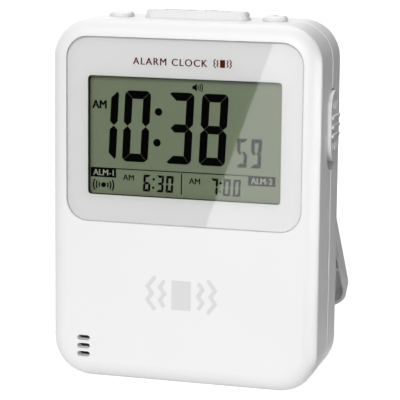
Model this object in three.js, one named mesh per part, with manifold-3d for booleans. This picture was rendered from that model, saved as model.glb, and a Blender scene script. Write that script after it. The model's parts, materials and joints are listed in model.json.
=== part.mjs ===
// Desk clock with a vibrating alarm: a white case in two shells, a flush display window, keys on the
// top edge, a slide switch on the right side and a broad stand that folds out of the back.
// Millimetres. X runs to the right as seen from the front, Y to the back and Z up.
// The origin is the middle of the flat base.
import * as THREE from 'three';
import { mergeVertices } from 'three/addons/utils/BufferGeometryUtils.js';
import Module from 'manifold-3d';

// Case
const bodyWidth = 78;
const bodyHeight = 103.5;
const bodyDepth = 27.5;
const cornerRadius = 10.9;
const frontShellDepth = 16.7;
const wall = 2;
const crownWidth = 4.6;
const crownDepth = 3;
const edgeBlend = 0.6;
const backEdge = 0.6;
const partingChamfer = 0.3;

// Clearances
const seatGap = 0.05;
const partingGap = 0.1;
const slideGap = 0.3;
const boreGap = 0.15;
const joinOverlap = 0.4;
const cutPast = 1;

// Display stack, from the front of the case to the board
const windowSink = 0.1;
const windowThickness = 0.7;
const windowHeight = 52.7;
const maskThickness = 0.2;
const ledgeThickness = 1.8;
const displayWidth = 56.3;
const displayHeight = 34.1;
const displayDrop = 11;
const displayCorner = 1;
const glassMargin = 2.9;
const glassThickness = 2.1;
const guideThickness = 1;
const guideSetback = 3;
const holderWall = 1.7;
const holderFloor = 1;
const holderFoot = 1.3;
const zebraThickness = 2.2;
const zebraLength = 54;
const ledWidth = 1.4;
const ledHeight = 3;

// Board and what is soldered to it
const boardThickness = 1.6;
const boardDrop = 5;
const boardTopGap = 3.2;
const boardScrewSide = 4.5;
const boardTopScrewSpan = 22;
const boardScrewEdge = 2.5;
const boardPostWall = 1;
const wingMargin = 1;
const switchWidth = 5.6;
const switchDepth = 3.3;
const switchHeight = 4.2;
const plungerRadius = 1.2;
const plungerLength = 2.6;
const plungerShow = 1.4;
const blobRadius = 5;
const blobShoulderRadius = 4;
const blobCrownRadius = 2;
const blobHeight = 1.3;
const blobShoulder = 0.9;
const crystalRadius = 1;
const crystalLength = 6;
const chipLift = 7;
const crystalSide = 12;

// Keys on the top edge
const keySpacing = 22.6;
const keyRowBack = 3.1;
const keyTravel = 0.8;
const roundKeyRadius = 3.5;
const roundKeyProud = 1.45;
const barWidth = 30;
const barDepth = 6.8;
const barCorner = 2.6;
const barProud = 2.3;
const barSkirt = 0.6;
const barSkirtStep = 0.25;
const keyFlange = 0.9;
const keyFlangeThickness = 1;
const keyEdge = 0.4;
const keyStemRadius = 1.3;

// Slide switch on the right side
const slotHeight = 23.6;
const slotRise = 2.65;
const sliderWidth = 11;
const sliderHeight = 20.2;
const sliderEndGap = 0.7;
const sliderProud = 1;
const sliderFlangeThickness = 1;
const sliderFlangeLap = 1;
const ridgePitch = 2.6;
const ridgeHeight = 0.45;
const ridgeWidth = 1;
const ridgeCount = 3;
const forkLength = 2.6;
const prongThickness = 1.2;
const leverThickness = 2;
const leverDepth = 2.4;
const leverSink = 1.6;
const sideSwitchWidth = 4.7;
const sideSwitchLength = 12;
const sideSwitchHeight = 8.4;

// Batteries and their compartment
const cellRadius = 5.25;
const cellLength = 44.5;
const cellPitch = 11;
const cellGap = 0.2;
const nubRadius = 1.9;
const nubLength = 1;
const batteryRise = 3.9;
const compartmentWall = 2.6;
const compartmentFloor = 1.4;
const contactThickness = 0.4;
const contactSize = 8;
const tailWidth = 2;
const springLength = 4.4;
const springRadius = 3;
const springWire = 0.35;
const springTurns = 3.5;
const doorThickness = 1.6;
const doorSink = 0.1;
const doorLap = 1.4;
const doorCorner = 1.5;
const hookWidth = 6;
const hookSpan = 30;
const hookReach = 1.4;
const hookThickness = 0.9;
const thumbWidth = 12;
const thumbHeight = 2.4;
const thumbDepth = 1.2;

// Stand
const standThickness = 4.1;
const standRim = 1.1;
const standFloor = 1.2;
const standOpenDeg = 41.5;
const standHeel = 1.6;
const standRibDrop = 28.3;
const standRibSpan = 28;
const recessRim = 0.8;
const recessDrop = 5.7;
const recessWall = 1.6;
const recessFloorThickness = 1.5;
const hingePinRadius = 1.2;
const hingeLugWidth = 2.7;
const hingeLugHalfHeight = 2.6;
const hingeSpan = 48;
const fingerNotchWidth = 16;
const fingerNotchDepth = 3;

// Vibration motor
const motorRadius = 6;
const motorLength = 20;
const motorDepth = 11.6;
const motorLeft = -15;
const shaftRadius = 0.75;
const shaftLength = 15;
const shaftSink = 4;
const weightRadius = 7;
const weightLength = 8;
const weightHubRadius = 2.4;
const weightStandOff = 2.5;
const saddleThickness = 2;
const saddleInset = 2;
const saddleHalfHeight = 8;
const saddleDrop = 1;
const strapThickness = 0.8;
const strapWidth = 8;
const strapFoot = 6.5;
const strapFootDepth = 7.2;

// Buzzer behind its sound slots
const slotFromLeft = 9.8;
const slotFromBottom = 9.15;
const soundSlotPitch = 2.4;
const soundSlotLength = 3.85;
const soundSlotHeight = 1.55;
const soundSlotCount = 3;
const buzzerRadius = 6;
const buzzerHeight = 4.5;
const buzzerChamber = 1.4;
const buzzerRingWall = 1;
const buzzerStep = 1.2;

// Screws and leads
const caseScrewInset = 6.6;
const caseScrewTop = 7.9;
const caseScrewSideLow = 7;
const caseScrewLow = 24;
const caseScrewSeat = 19;
const seatThickness = 2;
const caseScrew = { head: 2.2, headHeight: 1.6, shank: 1.1, length: 11 };
const boardScrew = { head: 2, headHeight: 1.3, shank: 0.9, length: 6 };
const strapScrew = { head: 1.9, headHeight: 1.2, shank: 0.9, length: 5 };
const postWall = 1.6;
const boreDepthSpare = 1;
const leadRadius = 0.6;
const leadStub = 2.5;
const leadSway = 4;
const leadLift = 1;
const leadSpacing = 5;
const padFromScrew = 3.3;
const padPitch = 4;

// Facets
const cornerSteps = 8;
const crownSteps = 5;
const edgeSteps = 3;
const arcSteps = 7;
const smallArcSteps = 3;
const smallRadius = 3;
const keySteps = 28;
const roundSteps = 18;
const smallRoundSteps = 10;
const turnSteps = 8;
const wireSides = 6;
const leadSteps = 14;
const mergeTolerance = 1e-5;

// Places worked out from the sizes
const quarter = Math.PI / 2;
const halfWidth = bodyWidth / 2;
const innerHalfWidth = halfWidth - wall;
const innerTop = bodyHeight - wall;
const atDepth = (depth) => depth - bodyDepth / 2;
const radians = (degrees) => (degrees * Math.PI) / 180;

const windowBack = windowSink + windowThickness;
const maskFront = windowBack + seatGap;
const maskBack = maskFront + maskThickness;
const ledgeFront = maskBack + seatGap;
const frontWall = ledgeFront + ledgeThickness;
const glassFront = frontWall + seatGap;
const glassBack = glassFront + glassThickness;
const guideFront = glassBack + seatGap;
const guideBack = guideFront + guideThickness;
const holderFloorFront = guideBack + seatGap;
const holderFloorBack = holderFloorFront + holderFloor;
const holderBack = holderFloorBack + holderFoot;
const boardFront = holderBack + seatGap;
const boardBack = boardFront + boardThickness;

const windowInset = crownWidth + slideGap / 2;
const windowWidth = bodyWidth - 2 * windowInset;
const windowTop = bodyHeight - windowInset;
const windowCentreZ = windowTop - windowHeight / 2;
const windowCorner = cornerRadius - windowInset;
const displayCentreZ = windowTop - displayDrop - displayHeight / 2;
const glassWidth = displayWidth + 2 * glassMargin;
const glassHeight = displayHeight + 2 * glassMargin;
const glassBottom = displayCentreZ - glassHeight / 2;
const holderPocketWidth = glassWidth + slideGap;
const holderPocketHeight = glassHeight + slideGap;
const holderWidth = holderPocketWidth + 2 * holderWall;
const holderHeight = holderPocketHeight + 2 * holderWall;
const holderBottom = displayCentreZ - holderHeight / 2;
const boardBottom = holderBottom - boardDrop;
const boardTop = innerTop - boardTopGap;
const motorHeight = (wall + boardBottom) / 2;

const switchRowDepth = boardBack + seatGap + switchDepth / 2;
const keyRowDepth = switchRowDepth + keyRowBack;
const keyFlangeTop = innerTop - boreGap;
const keyFlangeBottom = keyFlangeTop - keyFlangeThickness;
const switchTop = boardTop;
const switchBottom = switchTop - switchHeight;
const plungerTop = switchTop + plungerShow;
const keyStemBottom = plungerTop + seatGap;

const slotCentreZ = displayCentreZ + slotRise;
const slotWidth = sliderWidth + 2 * slideGap;
const sliderTravel = slotHeight - sliderHeight - 2 * sliderEndGap;
const sliderCentreZ = slotCentreZ + sliderTravel / 2;
const sliderFlangeOuter = innerHalfWidth - slideGap;
const sliderFlangeInner = sliderFlangeOuter - sliderFlangeThickness;
const sliderFlangeWidth = slotWidth + 2 * sliderFlangeLap;
const sliderFlangeHeight = slotHeight + 2 * sliderFlangeLap + sliderTravel;
const sliderFlangeCentreZ = slotCentreZ + sliderTravel / 2;
const forkInner = sliderFlangeInner - forkLength;
const sideSwitchOuter = forkInner - slideGap;
const sideSwitchInner = sideSwitchOuter - sideSwitchWidth;

const doorBack = bodyDepth - doorSink;
const doorFront = doorBack - doorThickness;
const doorSeat = doorFront - seatGap;
const cellDepth = doorFront - cellGap - cellRadius;
const bayFront = cellDepth - cellRadius - cellGap;
const bayOuterFront = bayFront - compartmentFloor;
const bayWidth = cellLength + springLength + 2 * contactThickness + 4 * boreGap;
const bayHeight = cellPitch + 2 * cellRadius + 4 * cellGap;
const bayRight = sideSwitchInner - slideGap - compartmentWall;
const bayCentreX = bayRight - bayWidth / 2;
const bayLeft = bayRight - bayWidth;
const batteryCentreZ = displayCentreZ + batteryRise;
const doorWidth = bayWidth + 2 * doorLap;
const doorHeight = bayHeight + 2 * doorLap;
const doorBottom = batteryCentreZ - doorHeight / 2;
const doorTop = batteryCentreZ + doorHeight / 2;
const hookSweep = Math.hypot(doorThickness + slideGap + hookThickness, hookReach);

const standAngle = radians(standOpenDeg);
const standHalf = standThickness / 2;
const standTopSweep = Math.hypot(standHeel, standHalf);
const standStopReach = standHalf * Math.cos(standAngle) + standHeel * Math.sin(standAngle);
const hingeDepth = doorBack - standHalf;
const recessFloor = hingeDepth - standStopReach - boreGap;
const recessFloorInner = recessFloor - recessFloorThickness;
const recessWallTop = doorBottom - hookReach - 2 * slideGap - recessDrop;
const recessTop = recessWallTop - recessWall;
const hingeZ = recessTop - standTopSweep - slideGap;
const standInset = recessRim + slideGap;
const standLength = hingeZ - standInset;
const lugInner = hingeSpan / 2 + slideGap;
const lugOuter = lugInner + hingeLugWidth;
const lugSweep = Math.hypot(standHalf, hingeLugHalfHeight);

const postTop = caseScrewSeat - seatThickness - boreGap;
const postRadius = caseScrew.shank + boreGap + postWall;
const boardHalfWidth = halfWidth - caseScrewInset - postRadius - slideGap;
const caseScrewPlaces = [
  { name: 'case_screw_upper_left', x: caseScrewInset - halfWidth, z: bodyHeight - caseScrewTop },
  { name: 'case_screw_upper_right', x: halfWidth - caseScrewInset, z: bodyHeight - caseScrewTop },
  { name: 'case_screw_lower_left', x: caseScrewSideLow - halfWidth, z: caseScrewLow },
  { name: 'case_screw_lower_right', x: halfWidth - caseScrewSideLow, z: caseScrewLow },
];
const boardPostRadius = boardScrew.shank + boreGap + boardPostWall;
const boardScrewX = boardHalfWidth - boardScrewSide;
const boardScrewPlaces = [
  { name: 'board_screw_upper_left', x: -boardTopScrewSpan / 2, z: boardTop - boardScrewEdge },
  { name: 'board_screw_upper_right', x: boardTopScrewSpan / 2, z: boardTop - boardScrewEdge },
  { name: 'board_screw_lower_left', x: -boardScrewX, z: boardBottom + boardScrewEdge },
  { name: 'board_screw_lower_right', x: boardScrewX, z: boardBottom + boardScrewEdge },
];
const strapCentreX = motorLeft + motorLength / 2;
const strapOuter = motorRadius + boreGap + strapThickness;
const strapScrewOffset = strapOuter + strapFoot / 2;
const strapScrewPlaces = [
  { name: 'strap_screw_upper', x: strapCentreX, z: motorHeight + strapScrewOffset },
  { name: 'strap_screw_lower', x: strapCentreX, z: motorHeight - strapScrewOffset },
];
const buzzerX = slotFromLeft - halfWidth;
const buzzerFront = frontWall + buzzerChamber + seatGap;

// Solid helpers
const wasm = await Module();
wasm.setup();

function asSolid(geometry) {
  const bare = geometry.index ? geometry.toNonIndexed() : geometry.clone();
  bare.deleteAttribute('normal');
  bare.deleteAttribute('uv');
  const merged = mergeVertices(bare, mergeTolerance);
  const corners = merged.index.array;
  const kept = [];
  for (let i = 0; i < corners.length; i += 3) {
    const [a, b, c] = [corners[i], corners[i + 1], corners[i + 2]];
    if (a !== b && b !== c && c !== a) kept.push(a, b, c);
  }
  return new wasm.Manifold(new wasm.Mesh({
    numProp: 3,
    vertProperties: Float32Array.from(merged.attributes.position.array),
    triVerts: Uint32Array.from(kept),
  }));
}

function asGeometry(body) {
  const mesh = body.getMesh();
  const geometry = new THREE.BufferGeometry();
  geometry.setAttribute('position', new THREE.BufferAttribute(mesh.vertProperties, 3));
  geometry.setIndex(new THREE.BufferAttribute(mesh.triVerts, 1));
  geometry.computeVertexNormals();
  return geometry;
}

const join = (body, pieces) => pieces.reduce((sum, piece) => sum.add(asSolid(piece)), body);
const cut = (body, pieces) => pieces.reduce((rest, piece) => rest.subtract(asSolid(piece)), body);

// An outline with round corners, in the plane of the front face unless it is stood up elsewhere.
function roundedOutline(width, height, radius, centreX = 0, centreZ = 0) {
  const right = width / 2 - radius;
  const top = height / 2 - radius;
  const steps = radius > smallRadius ? arcSteps : smallArcSteps;
  const corners = [[right, top], [-right, top], [-right, -top], [right, -top]];
  return new THREE.Shape(corners.flatMap(([x, z], turn) => Array.from({ length: steps + 1 }, (_, step) => {
    const angle = (turn + step / steps) * quarter;
    return new THREE.Vector2(centreX + x + radius * Math.cos(angle), centreZ + z + radius * Math.sin(angle));
  })));
}

const bodyOutline = (inset) => roundedOutline(
  bodyWidth - 2 * inset, bodyHeight - 2 * inset, cornerRadius - inset, 0, bodyHeight / 2);

const windowOutline = (grow) => roundedOutline(
  windowWidth + 2 * grow, windowHeight + 2 * grow, windowCorner + grow, 0, windowCentreZ);

const displayOutline = () => roundedOutline(displayWidth, displayHeight, displayCorner, 0, displayCentreZ);

function extruded(shape, length) {
  return new THREE.ExtrudeGeometry(shape, { depth: length, bevelEnabled: false, curveSegments: arcSteps });
}

// A plate parallel to the front face, between two depths.
function slab(shape, fromDepth, toDepth) {
  return extruded(shape, toDepth - fromDepth).rotateX(quarter).translate(0, atDepth(toDepth), 0);
}

// A column whose outline is given in X and Y, between two heights.
function column(shape, fromZ, toZ) {
  return extruded(shape, toZ - fromZ).translate(0, 0, fromZ);
}

// A bar along X whose outline is given in Y and Z.
function crossbar(shape, fromX, toX) {
  const turn = new THREE.Matrix4().makeBasis(
    new THREE.Vector3(0, 1, 0), new THREE.Vector3(0, 0, 1), new THREE.Vector3(1, 0, 0));
  return extruded(shape, toX - fromX).applyMatrix4(turn).translate(fromX, 0, 0);
}

function block([x0, x1], [depth0, depth1], [z0, z1]) {
  return new THREE.BoxGeometry(x1 - x0, depth1 - depth0, z1 - z0)
    .translate((x0 + x1) / 2, atDepth((depth0 + depth1) / 2), (z0 + z1) / 2);
}

// Round bars along the depth, along Z and along X.
function peg(radius, x, z, fromDepth, toDepth, steps = smallRoundSteps) {
  return new THREE.CylinderGeometry(radius, radius, toDepth - fromDepth, steps)
    .translate(x, atDepth((fromDepth + toDepth) / 2), z);
}

function pillar(radius, x, depth, fromZ, toZ, steps = roundSteps) {
  return new THREE.CylinderGeometry(radius, radius, toZ - fromZ, steps)
    .rotateX(quarter).translate(x, atDepth(depth), (fromZ + toZ) / 2);
}

function axle(radius, fromX, toX, y, z, steps = roundSteps) {
  return new THREE.CylinderGeometry(radius, radius, toX - fromX, steps)
    .rotateZ(quarter).translate((fromX + toX) / 2, y, z);
}

function turned(profile, steps = roundSteps) {
  return new THREE.LatheGeometry(profile.map(([radius, along]) => new THREE.Vector2(radius, along)), steps);
}

// A closed skin over rings of points that all have the same count, with flat ends.
function skin(rings) {
  const count = rings[0].length;
  const faces = [];
  for (let ring = 0; ring + 1 < rings.length; ring += 1) {
    for (let i = 0; i < count; i += 1) {
      const a = ring * count + i;
      const b = ring * count + ((i + 1) % count);
      faces.push(a, b + count, b, a, a + count, b + count);
    }
  }
  const last = (rings.length - 1) * count;
  for (let i = 1; i + 1 < count; i += 1) {
    faces.push(0, i, i + 1, last, last + i + 1, last + i);
  }
  const geometry = new THREE.BufferGeometry();
  geometry.setFromPoints(rings.flat());
  geometry.setIndex(faces);
  return geometry;
}

// One ring of the case's outline, walked so that a skin from front to back faces outwards.
function caseRing(inset, depth) {
  const radius = cornerRadius - inset;
  const right = halfWidth - inset - radius;
  const low = inset + radius;
  const high = bodyHeight - inset - radius;
  const corners = [[right, low, -1], [right, high, 0], [-right, high, 1], [-right, low, 2]];
  return corners.flatMap(([x, z, turn]) => Array.from({ length: cornerSteps + 1 }, (_, step) => {
    const angle = (turn + step / cornerSteps) * quarter;
    return new THREE.Vector3(x + radius * Math.cos(angle), atDepth(depth), z + radius * Math.sin(angle));
  }));
}

const finish = (color, roughness, metalness = 0) =>
  new THREE.MeshStandardMaterial({ color, roughness, metalness });
const whitePlastic = () => finish(0xf2f2f2, 0.5);
const greyPlastic = () => finish(0x9a9a9c, 0.6);
const blackPlastic = () => finish(0x222224, 0.6);
const steel = () => finish(0xb9bbc0, 0.35, 1);

const clock = new THREE.Group();
clock.name = 'desk_clock';

function place(name, geometry, material, parent = clock) {
  const mesh = new THREE.Mesh(geometry, material);
  mesh.name = name;
  parent.add(mesh);
  return mesh;
}

// The stadium cut for the side slider, through the wall of both shells.
const sliderSlot = crossbar(
  roundedOutline(slotWidth, slotHeight, slotWidth / 2, atDepth(frontShellDepth), slotCentreZ),
  innerHalfWidth - cutPast, halfWidth + cutPast);

// The room that the slider's flange sweeps behind the wall.
const sliderSweep = crossbar(
  roundedOutline(sliderFlangeWidth + 2 * slideGap, sliderFlangeHeight + sliderTravel + 2 * slideGap,
    sliderFlangeWidth / 2 + slideGap, atDepth(frontShellDepth), sliderFlangeCentreZ - sliderTravel / 2),
  sliderFlangeInner - slideGap, innerHalfWidth);

// The front edge of the case as pairs of inset and depth: an arc down from the flat front, then a soft
// edge where it meets the side.
function crownProfile() {
  const crownAngle = 2 * Math.atan(crownDepth / crownWidth);
  const crownRadius = crownWidth / Math.sin(crownAngle);
  const arcEnd = crownAngle - edgeBlend / crownRadius;
  const arc = Array.from({ length: crownSteps + 1 }, (_, step) => {
    const angle = (arcEnd * step) / crownSteps;
    return [crownWidth - crownRadius * Math.sin(angle), crownRadius * (1 - Math.cos(angle))];
  });
  const [inset, depth] = arc[crownSteps];
  const soft = Array.from({ length: edgeSteps }, (_, step) => {
    const t = (step + 1) / edgeSteps;
    const depthBefore = depth * (1 - t) + crownDepth * t;
    const depthAfter = crownDepth + edgeBlend * t;
    return [inset * (1 - t) ** 2, depthBefore * (1 - t) + depthAfter * t];
  });
  return [...arc, ...soft];
}

// The back edge of the case, rounded, as pairs of inset and depth.
function backProfile() {
  return Array.from({ length: edgeSteps + 1 }, (_, step) => {
    const angle = (quarter * step) / edgeSteps;
    return [backEdge * (1 - Math.cos(angle)), bodyDepth - backEdge * (1 - Math.sin(angle))];
  });
}

// Front shell: crowned front, window seat, key holes, sound slots, and posts moulded inside.
function frontShell() {
  const outer = asSolid(skin([...crownProfile().map(([inset, depth]) => caseRing(inset, depth)),
    caseRing(0, frontShellDepth - partingChamfer), caseRing(partingChamfer, frontShellDepth)]));
  const openings = [
    slab(bodyOutline(wall), frontWall, frontShellDepth + cutPast),
    slab(windowOutline(slideGap / 2), -cutPast, ledgeFront),
    slab(displayOutline(), 0, frontWall + cutPast),
    ...keyHoles(),
    sliderSlot,
  ];
  const root = frontWall - joinOverlap;
  const posts = [
    ...caseScrewPlaces.map(({ x, z }) => peg(postRadius, x, z, root, postTop)),
    ...boardScrewPlaces.map(({ x, z }) => peg(boardPostRadius, x, z, root, boardFront - seatGap)),
    ...strapScrewPlaces.map(({ x, z }) => peg(boardPostRadius, x, z, root, strapFootDepth - seatGap)),
    peg(buzzerRadius + boreGap + buzzerRingWall, buzzerX, slotFromBottom, root,
      buzzerFront + buzzerHeight / 2, roundSteps),
    ...saddlePlaces().map((x) => block([x, x + saddleThickness], [root, motorDepth - saddleDrop],
      [motorHeight - saddleHalfHeight, motorHeight + saddleHalfHeight])),
  ];
  const bores = [
    ...caseScrewPlaces.map(({ x, z }) => peg(caseScrew.shank + boreGap, x, z,
      caseScrewSeat - caseScrew.length - boreDepthSpare, postTop + cutPast)),
    ...boardScrewPlaces.map(({ x, z }) => peg(boardScrew.shank + boreGap, x, z,
      boardBack - boardScrew.length - boreDepthSpare / 2, boardFront + cutPast)),
    ...strapScrewPlaces.map(({ x, z }) => peg(strapScrew.shank + boreGap, x, z,
      strapFootDepth + strapThickness - strapScrew.length - boreDepthSpare / 2, strapFootDepth + cutPast)),
    peg(buzzerRadius + boreGap, buzzerX, slotFromBottom, buzzerFront - seatGap, bodyDepth, roundSteps),
    peg(buzzerRadius - buzzerStep, buzzerX, slotFromBottom, frontWall, bodyDepth, roundSteps),
    axle(motorRadius + boreGap, motorLeft - cutPast, motorLeft + motorLength + cutPast,
      atDepth(motorDepth), motorHeight),
    ...Array.from({ length: soundSlotCount }, (_, i) => soundSlot(i - (soundSlotCount - 1) / 2)),
  ];
  return cut(join(cut(outer, openings), posts).intersect(outer), bores);
}

function soundSlot(row) {
  const outline = roundedOutline(soundSlotLength, soundSlotHeight, soundSlotHeight / 2, buzzerX,
    slotFromBottom + row * soundSlotPitch);
  return slab(outline, -cutPast, frontWall + cutPast);
}

function saddlePlaces() {
  return [motorLeft + saddleInset, motorLeft + motorLength - saddleInset - saddleThickness];
}

function keyHoles() {
  const floor = innerTop - cutPast;
  const top = bodyHeight + cutPast;
  return [column(keyOutline(barSkirtStep + slideGap), floor, top), ...[-keySpacing, keySpacing].map(
    (x) => pillar(roundKeyRadius + slideGap, x, keyRowDepth, floor, top, keySteps))];
}

function keyOutline(grow) {
  return roundedOutline(
    barWidth + 2 * grow, barDepth + 2 * grow, barCorner + grow, 0, atDepth(keyRowDepth));
}

place('front_shell', asGeometry(frontShell()), whitePlastic());

// Back shell: side walls and back, the stand's recess with its hinge lugs, and the battery compartment.
function backShell() {
  const front = frontShellDepth + partingGap;
  const outer = asSolid(skin([caseRing(partingChamfer, front), caseRing(0, front + partingChamfer),
    ...backProfile().map(([inset, depth]) => caseRing(inset, depth))]));
  const everywhere = [-bodyWidth, bodyWidth];
  const allDepths = [-bodyDepth, 2 * bodyDepth];
  const belowRecessTop = asSolid(block(everywhere, allDepths, [-bodyHeight, recessTop]));
  const aboveRecessWall = asSolid(block(everywhere, allDepths, [recessWallTop, 2 * bodyHeight]));
  const recess = asSolid(slab(bodyOutline(recessRim), recessFloor, bodyDepth + cutPast))
    .intersect(belowRecessTop);
  const upperRoom = asSolid(slab(bodyOutline(wall), front - cutPast, doorSeat))
    .intersect(aboveRecessWall);
  const lowerRoom = slab(bodyOutline(wall), front - cutPast, recessFloorInner);
  const additions = [
    block([bayLeft - compartmentWall, bayRight + compartmentWall], [bayOuterFront, bodyDepth - backEdge],
      [batteryCentreZ - bayHeight / 2 - compartmentWall, batteryCentreZ + bayHeight / 2 + compartmentWall]),
    ...caseScrewPlaces.map(({ x, z }) => peg(caseScrew.head + boreGap + postWall, x, z,
      caseScrewSeat - seatThickness, (z > recessTop ? doorSeat : recessFloorInner) + joinOverlap)),
  ];
  const lugs = [-1, 1].map((side) => block(
    [Math.min(side * lugInner, side * lugOuter), Math.max(side * lugInner, side * lugOuter)],
    [recessFloor - joinOverlap, doorBack], [hingeZ - hingeLugHalfHeight, recessTop + joinOverlap]));
  const openings = [
    ...keyHoles(),
    sliderSlot,
    sliderSweep,
    block([bayLeft, bayRight], [bayFront, bodyDepth + cutPast],
      [batteryCentreZ - bayHeight / 2, batteryCentreZ + bayHeight / 2]),
    slab(roundedOutline(doorWidth + slideGap, doorHeight + slideGap, doorCorner, bayCentreX, batteryCentreZ),
      doorSeat, bodyDepth + cutPast),
    block([bayCentreX - thumbWidth / 2, bayCentreX + thumbWidth / 2],
      [bodyDepth - thumbDepth, bodyDepth + cutPast], [doorTop - cutPast, doorTop + thumbHeight]),
    block([-fingerNotchWidth / 2, fingerNotchWidth / 2], [bodyDepth - fingerNotchDepth, bodyDepth + cutPast],
      [-cutPast, recessRim + cutPast]),
    axle(hingePinRadius + boreGap, -lugOuter - cutPast, lugOuter + cutPast, atDepth(hingeDepth), hingeZ,
      smallRoundSteps),
    ...hookPlaces().map((x) => block([x - slideGap, x + hookWidth + slideGap],
      [doorBack - hookSweep - slideGap, doorSeat],
      [doorBottom - hookReach - slideGap, doorBottom + 2 * doorLap])),
    ...tailPlaces().map((z) => block(
      [bayRight - boreGap - contactThickness - slideGap, bayRight - boreGap + slideGap],
      [bayOuterFront - cutPast, bayFront + cutPast],
      [z - tailWidth / 2 - slideGap, z + tailWidth / 2 + slideGap])),
    ...caseScrewPlaces.map(({ x, z }) => peg(caseScrew.head + boreGap, x, z, caseScrewSeat,
      bodyDepth + cutPast)),
    ...caseScrewPlaces.map(({ x, z }) => peg(caseScrew.shank + boreGap, x, z,
      caseScrewSeat - seatThickness - cutPast, caseScrewSeat + cutPast)),
  ];
  const hollow = join(cut(outer, [lowerRoom]).subtract(upperRoom), additions).subtract(recess);
  return cut(join(hollow, lugs), openings);
}

function hookPlaces() {
  return [-1, 1].map((side) => bayCentreX + (side * hookSpan) / 2 - hookWidth / 2);
}

function tailPlaces() {
  return [batteryCentreZ - cellPitch / 2, batteryCentreZ + cellPitch / 2];
}

place('back_shell', asGeometry(backShell()), whitePlastic());

// Display: clear window, its printed mask, the glass, the light guide, and the holder that carries them.
place('display_window', slab(windowOutline(0), windowSink, windowBack), finish(0xdfe3e4, 0.05));

const maskSheet = asSolid(slab(windowOutline(0), maskFront, maskBack));
place('display_mask', asGeometry(cut(maskSheet, [slab(displayOutline(), 0, frontWall)])),
  finish(0xd3d3d3, 0.4));

place('lcd_glass', block([-glassWidth / 2, glassWidth / 2], [glassFront, glassBack],
  [glassBottom, glassBottom + glassHeight]), finish(0x6b735f, 0.2));

const guideBottom = glassBottom + guideSetback;
const guideLeft = -glassWidth / 2 + ledWidth + slideGap;
place('light_guide', block([guideLeft, glassWidth / 2], [guideFront, guideBack],
  [guideBottom, glassBottom + glassHeight]), finish(0xf4f4ee, 0.3));
place('backlight_led', block([-glassWidth / 2, guideLeft - slideGap], [guideFront, guideBack],
  [displayCentreZ - ledHeight / 2, displayCentreZ + ledHeight / 2]), finish(0xf0e9c8, 0.4));

const zebraBottom = glassBottom + (guideSetback - zebraThickness) / 2;
const holderBody = asSolid(block([-holderWidth / 2, holderWidth / 2], [glassFront, holderBack],
  [holderBottom, holderBottom + holderHeight]));
const holderRoom = [
  [-holderPocketWidth / 2, holderPocketWidth / 2],
  [displayCentreZ - holderPocketHeight / 2, displayCentreZ + holderPocketHeight / 2],
];
place('lcd_holder', asGeometry(cut(holderBody, [
  block(holderRoom[0], [frontWall - cutPast, holderFloorFront], holderRoom[1]),
  block(holderRoom[0], [holderFloorBack, holderBack + cutPast], holderRoom[1]),
  block([-zebraLength / 2 - slideGap, zebraLength / 2 + slideGap], [0, bodyDepth],
    [zebraBottom - slideGap, zebraBottom + zebraThickness + slideGap]),
])), finish(0xe8e8e6, 0.6));

place('zebra_strip', block([-zebraLength / 2, zebraLength / 2], [guideFront, holderBack],
  [zebraBottom, zebraBottom + zebraThickness]), finish(0xc9a7a0, 0.8));

// Main board, with a wing on the right that carries the slide switch.
function mainBoard() {
  const wingBottom = slotCentreZ - sideSwitchLength / 2 - wingMargin;
  const wingTop = slotCentreZ + sideSwitchLength / 2 + wingMargin;
  const layers = [boardFront, boardBack];
  const panel = asSolid(block([-boardHalfWidth, boardHalfWidth], layers, [boardBottom, boardTop]));
  const wing = block([boardHalfWidth - joinOverlap, sideSwitchOuter + slideGap], layers,
    [wingBottom, wingTop]);
  return cut(join(panel, [wing]), boardScrewPlaces.map(({ x, z }) =>
    peg(boardScrew.shank + boreGap, x, z, boardFront - cutPast, boardBack + cutPast)));
}
place('main_board', asGeometry(mainBoard()), finish(0x2f6b43, 0.5));

const chipZ = boardBottom + chipLift;
const blob = place('controller_blob', turned([[0, 0], [blobRadius, 0], [blobShoulderRadius, blobShoulder],
  [blobCrownRadius, blobHeight], [0, blobHeight]]), finish(0x17171a, 0.35));
blob.position.set(0, atDepth(boardBack + seatGap), chipZ);
place('crystal_can', axle(crystalRadius, crystalSide, crystalSide + crystalLength,
  atDepth(boardBack + seatGap + crystalRadius), chipZ, smallRoundSteps), steel());

// Keys: each stands in its hole, is kept in by a flange and rests on a push switch on the board.
function roundKey(x) {
  const top = bodyHeight + roundKeyProud;
  const cap = turned([[0, keyFlangeBottom], [roundKeyRadius + keyFlange, keyFlangeBottom],
    [roundKeyRadius + keyFlange, keyFlangeTop], [roundKeyRadius, keyFlangeTop],
    [roundKeyRadius, top - keyEdge], [roundKeyRadius - keyEdge, top], [0, top]], keySteps)
    .rotateX(quarter).translate(x, atDepth(keyRowDepth), 0);
  return join(asSolid(cap), [keyStem(x)]);
}

function keyStem(x) {
  return pillar(keyStemRadius, x, switchRowDepth, keyStemBottom, keyFlangeBottom + joinOverlap,
    smallRoundSteps);
}

function snoozeBar() {
  const top = bodyHeight + barProud;
  const skirtTop = bodyHeight + barSkirt;
  return join(asSolid(column(keyOutline(keyFlange + barSkirtStep), keyFlangeBottom, keyFlangeTop)), [
    column(keyOutline(barSkirtStep), keyFlangeTop - joinOverlap, skirtTop),
    column(keyOutline(0), skirtTop - joinOverlap, top - keyEdge),
    column(keyOutline(-keyEdge), top - keyEdge - joinOverlap, top),
    keyStem(0),
  ]);
}

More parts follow.
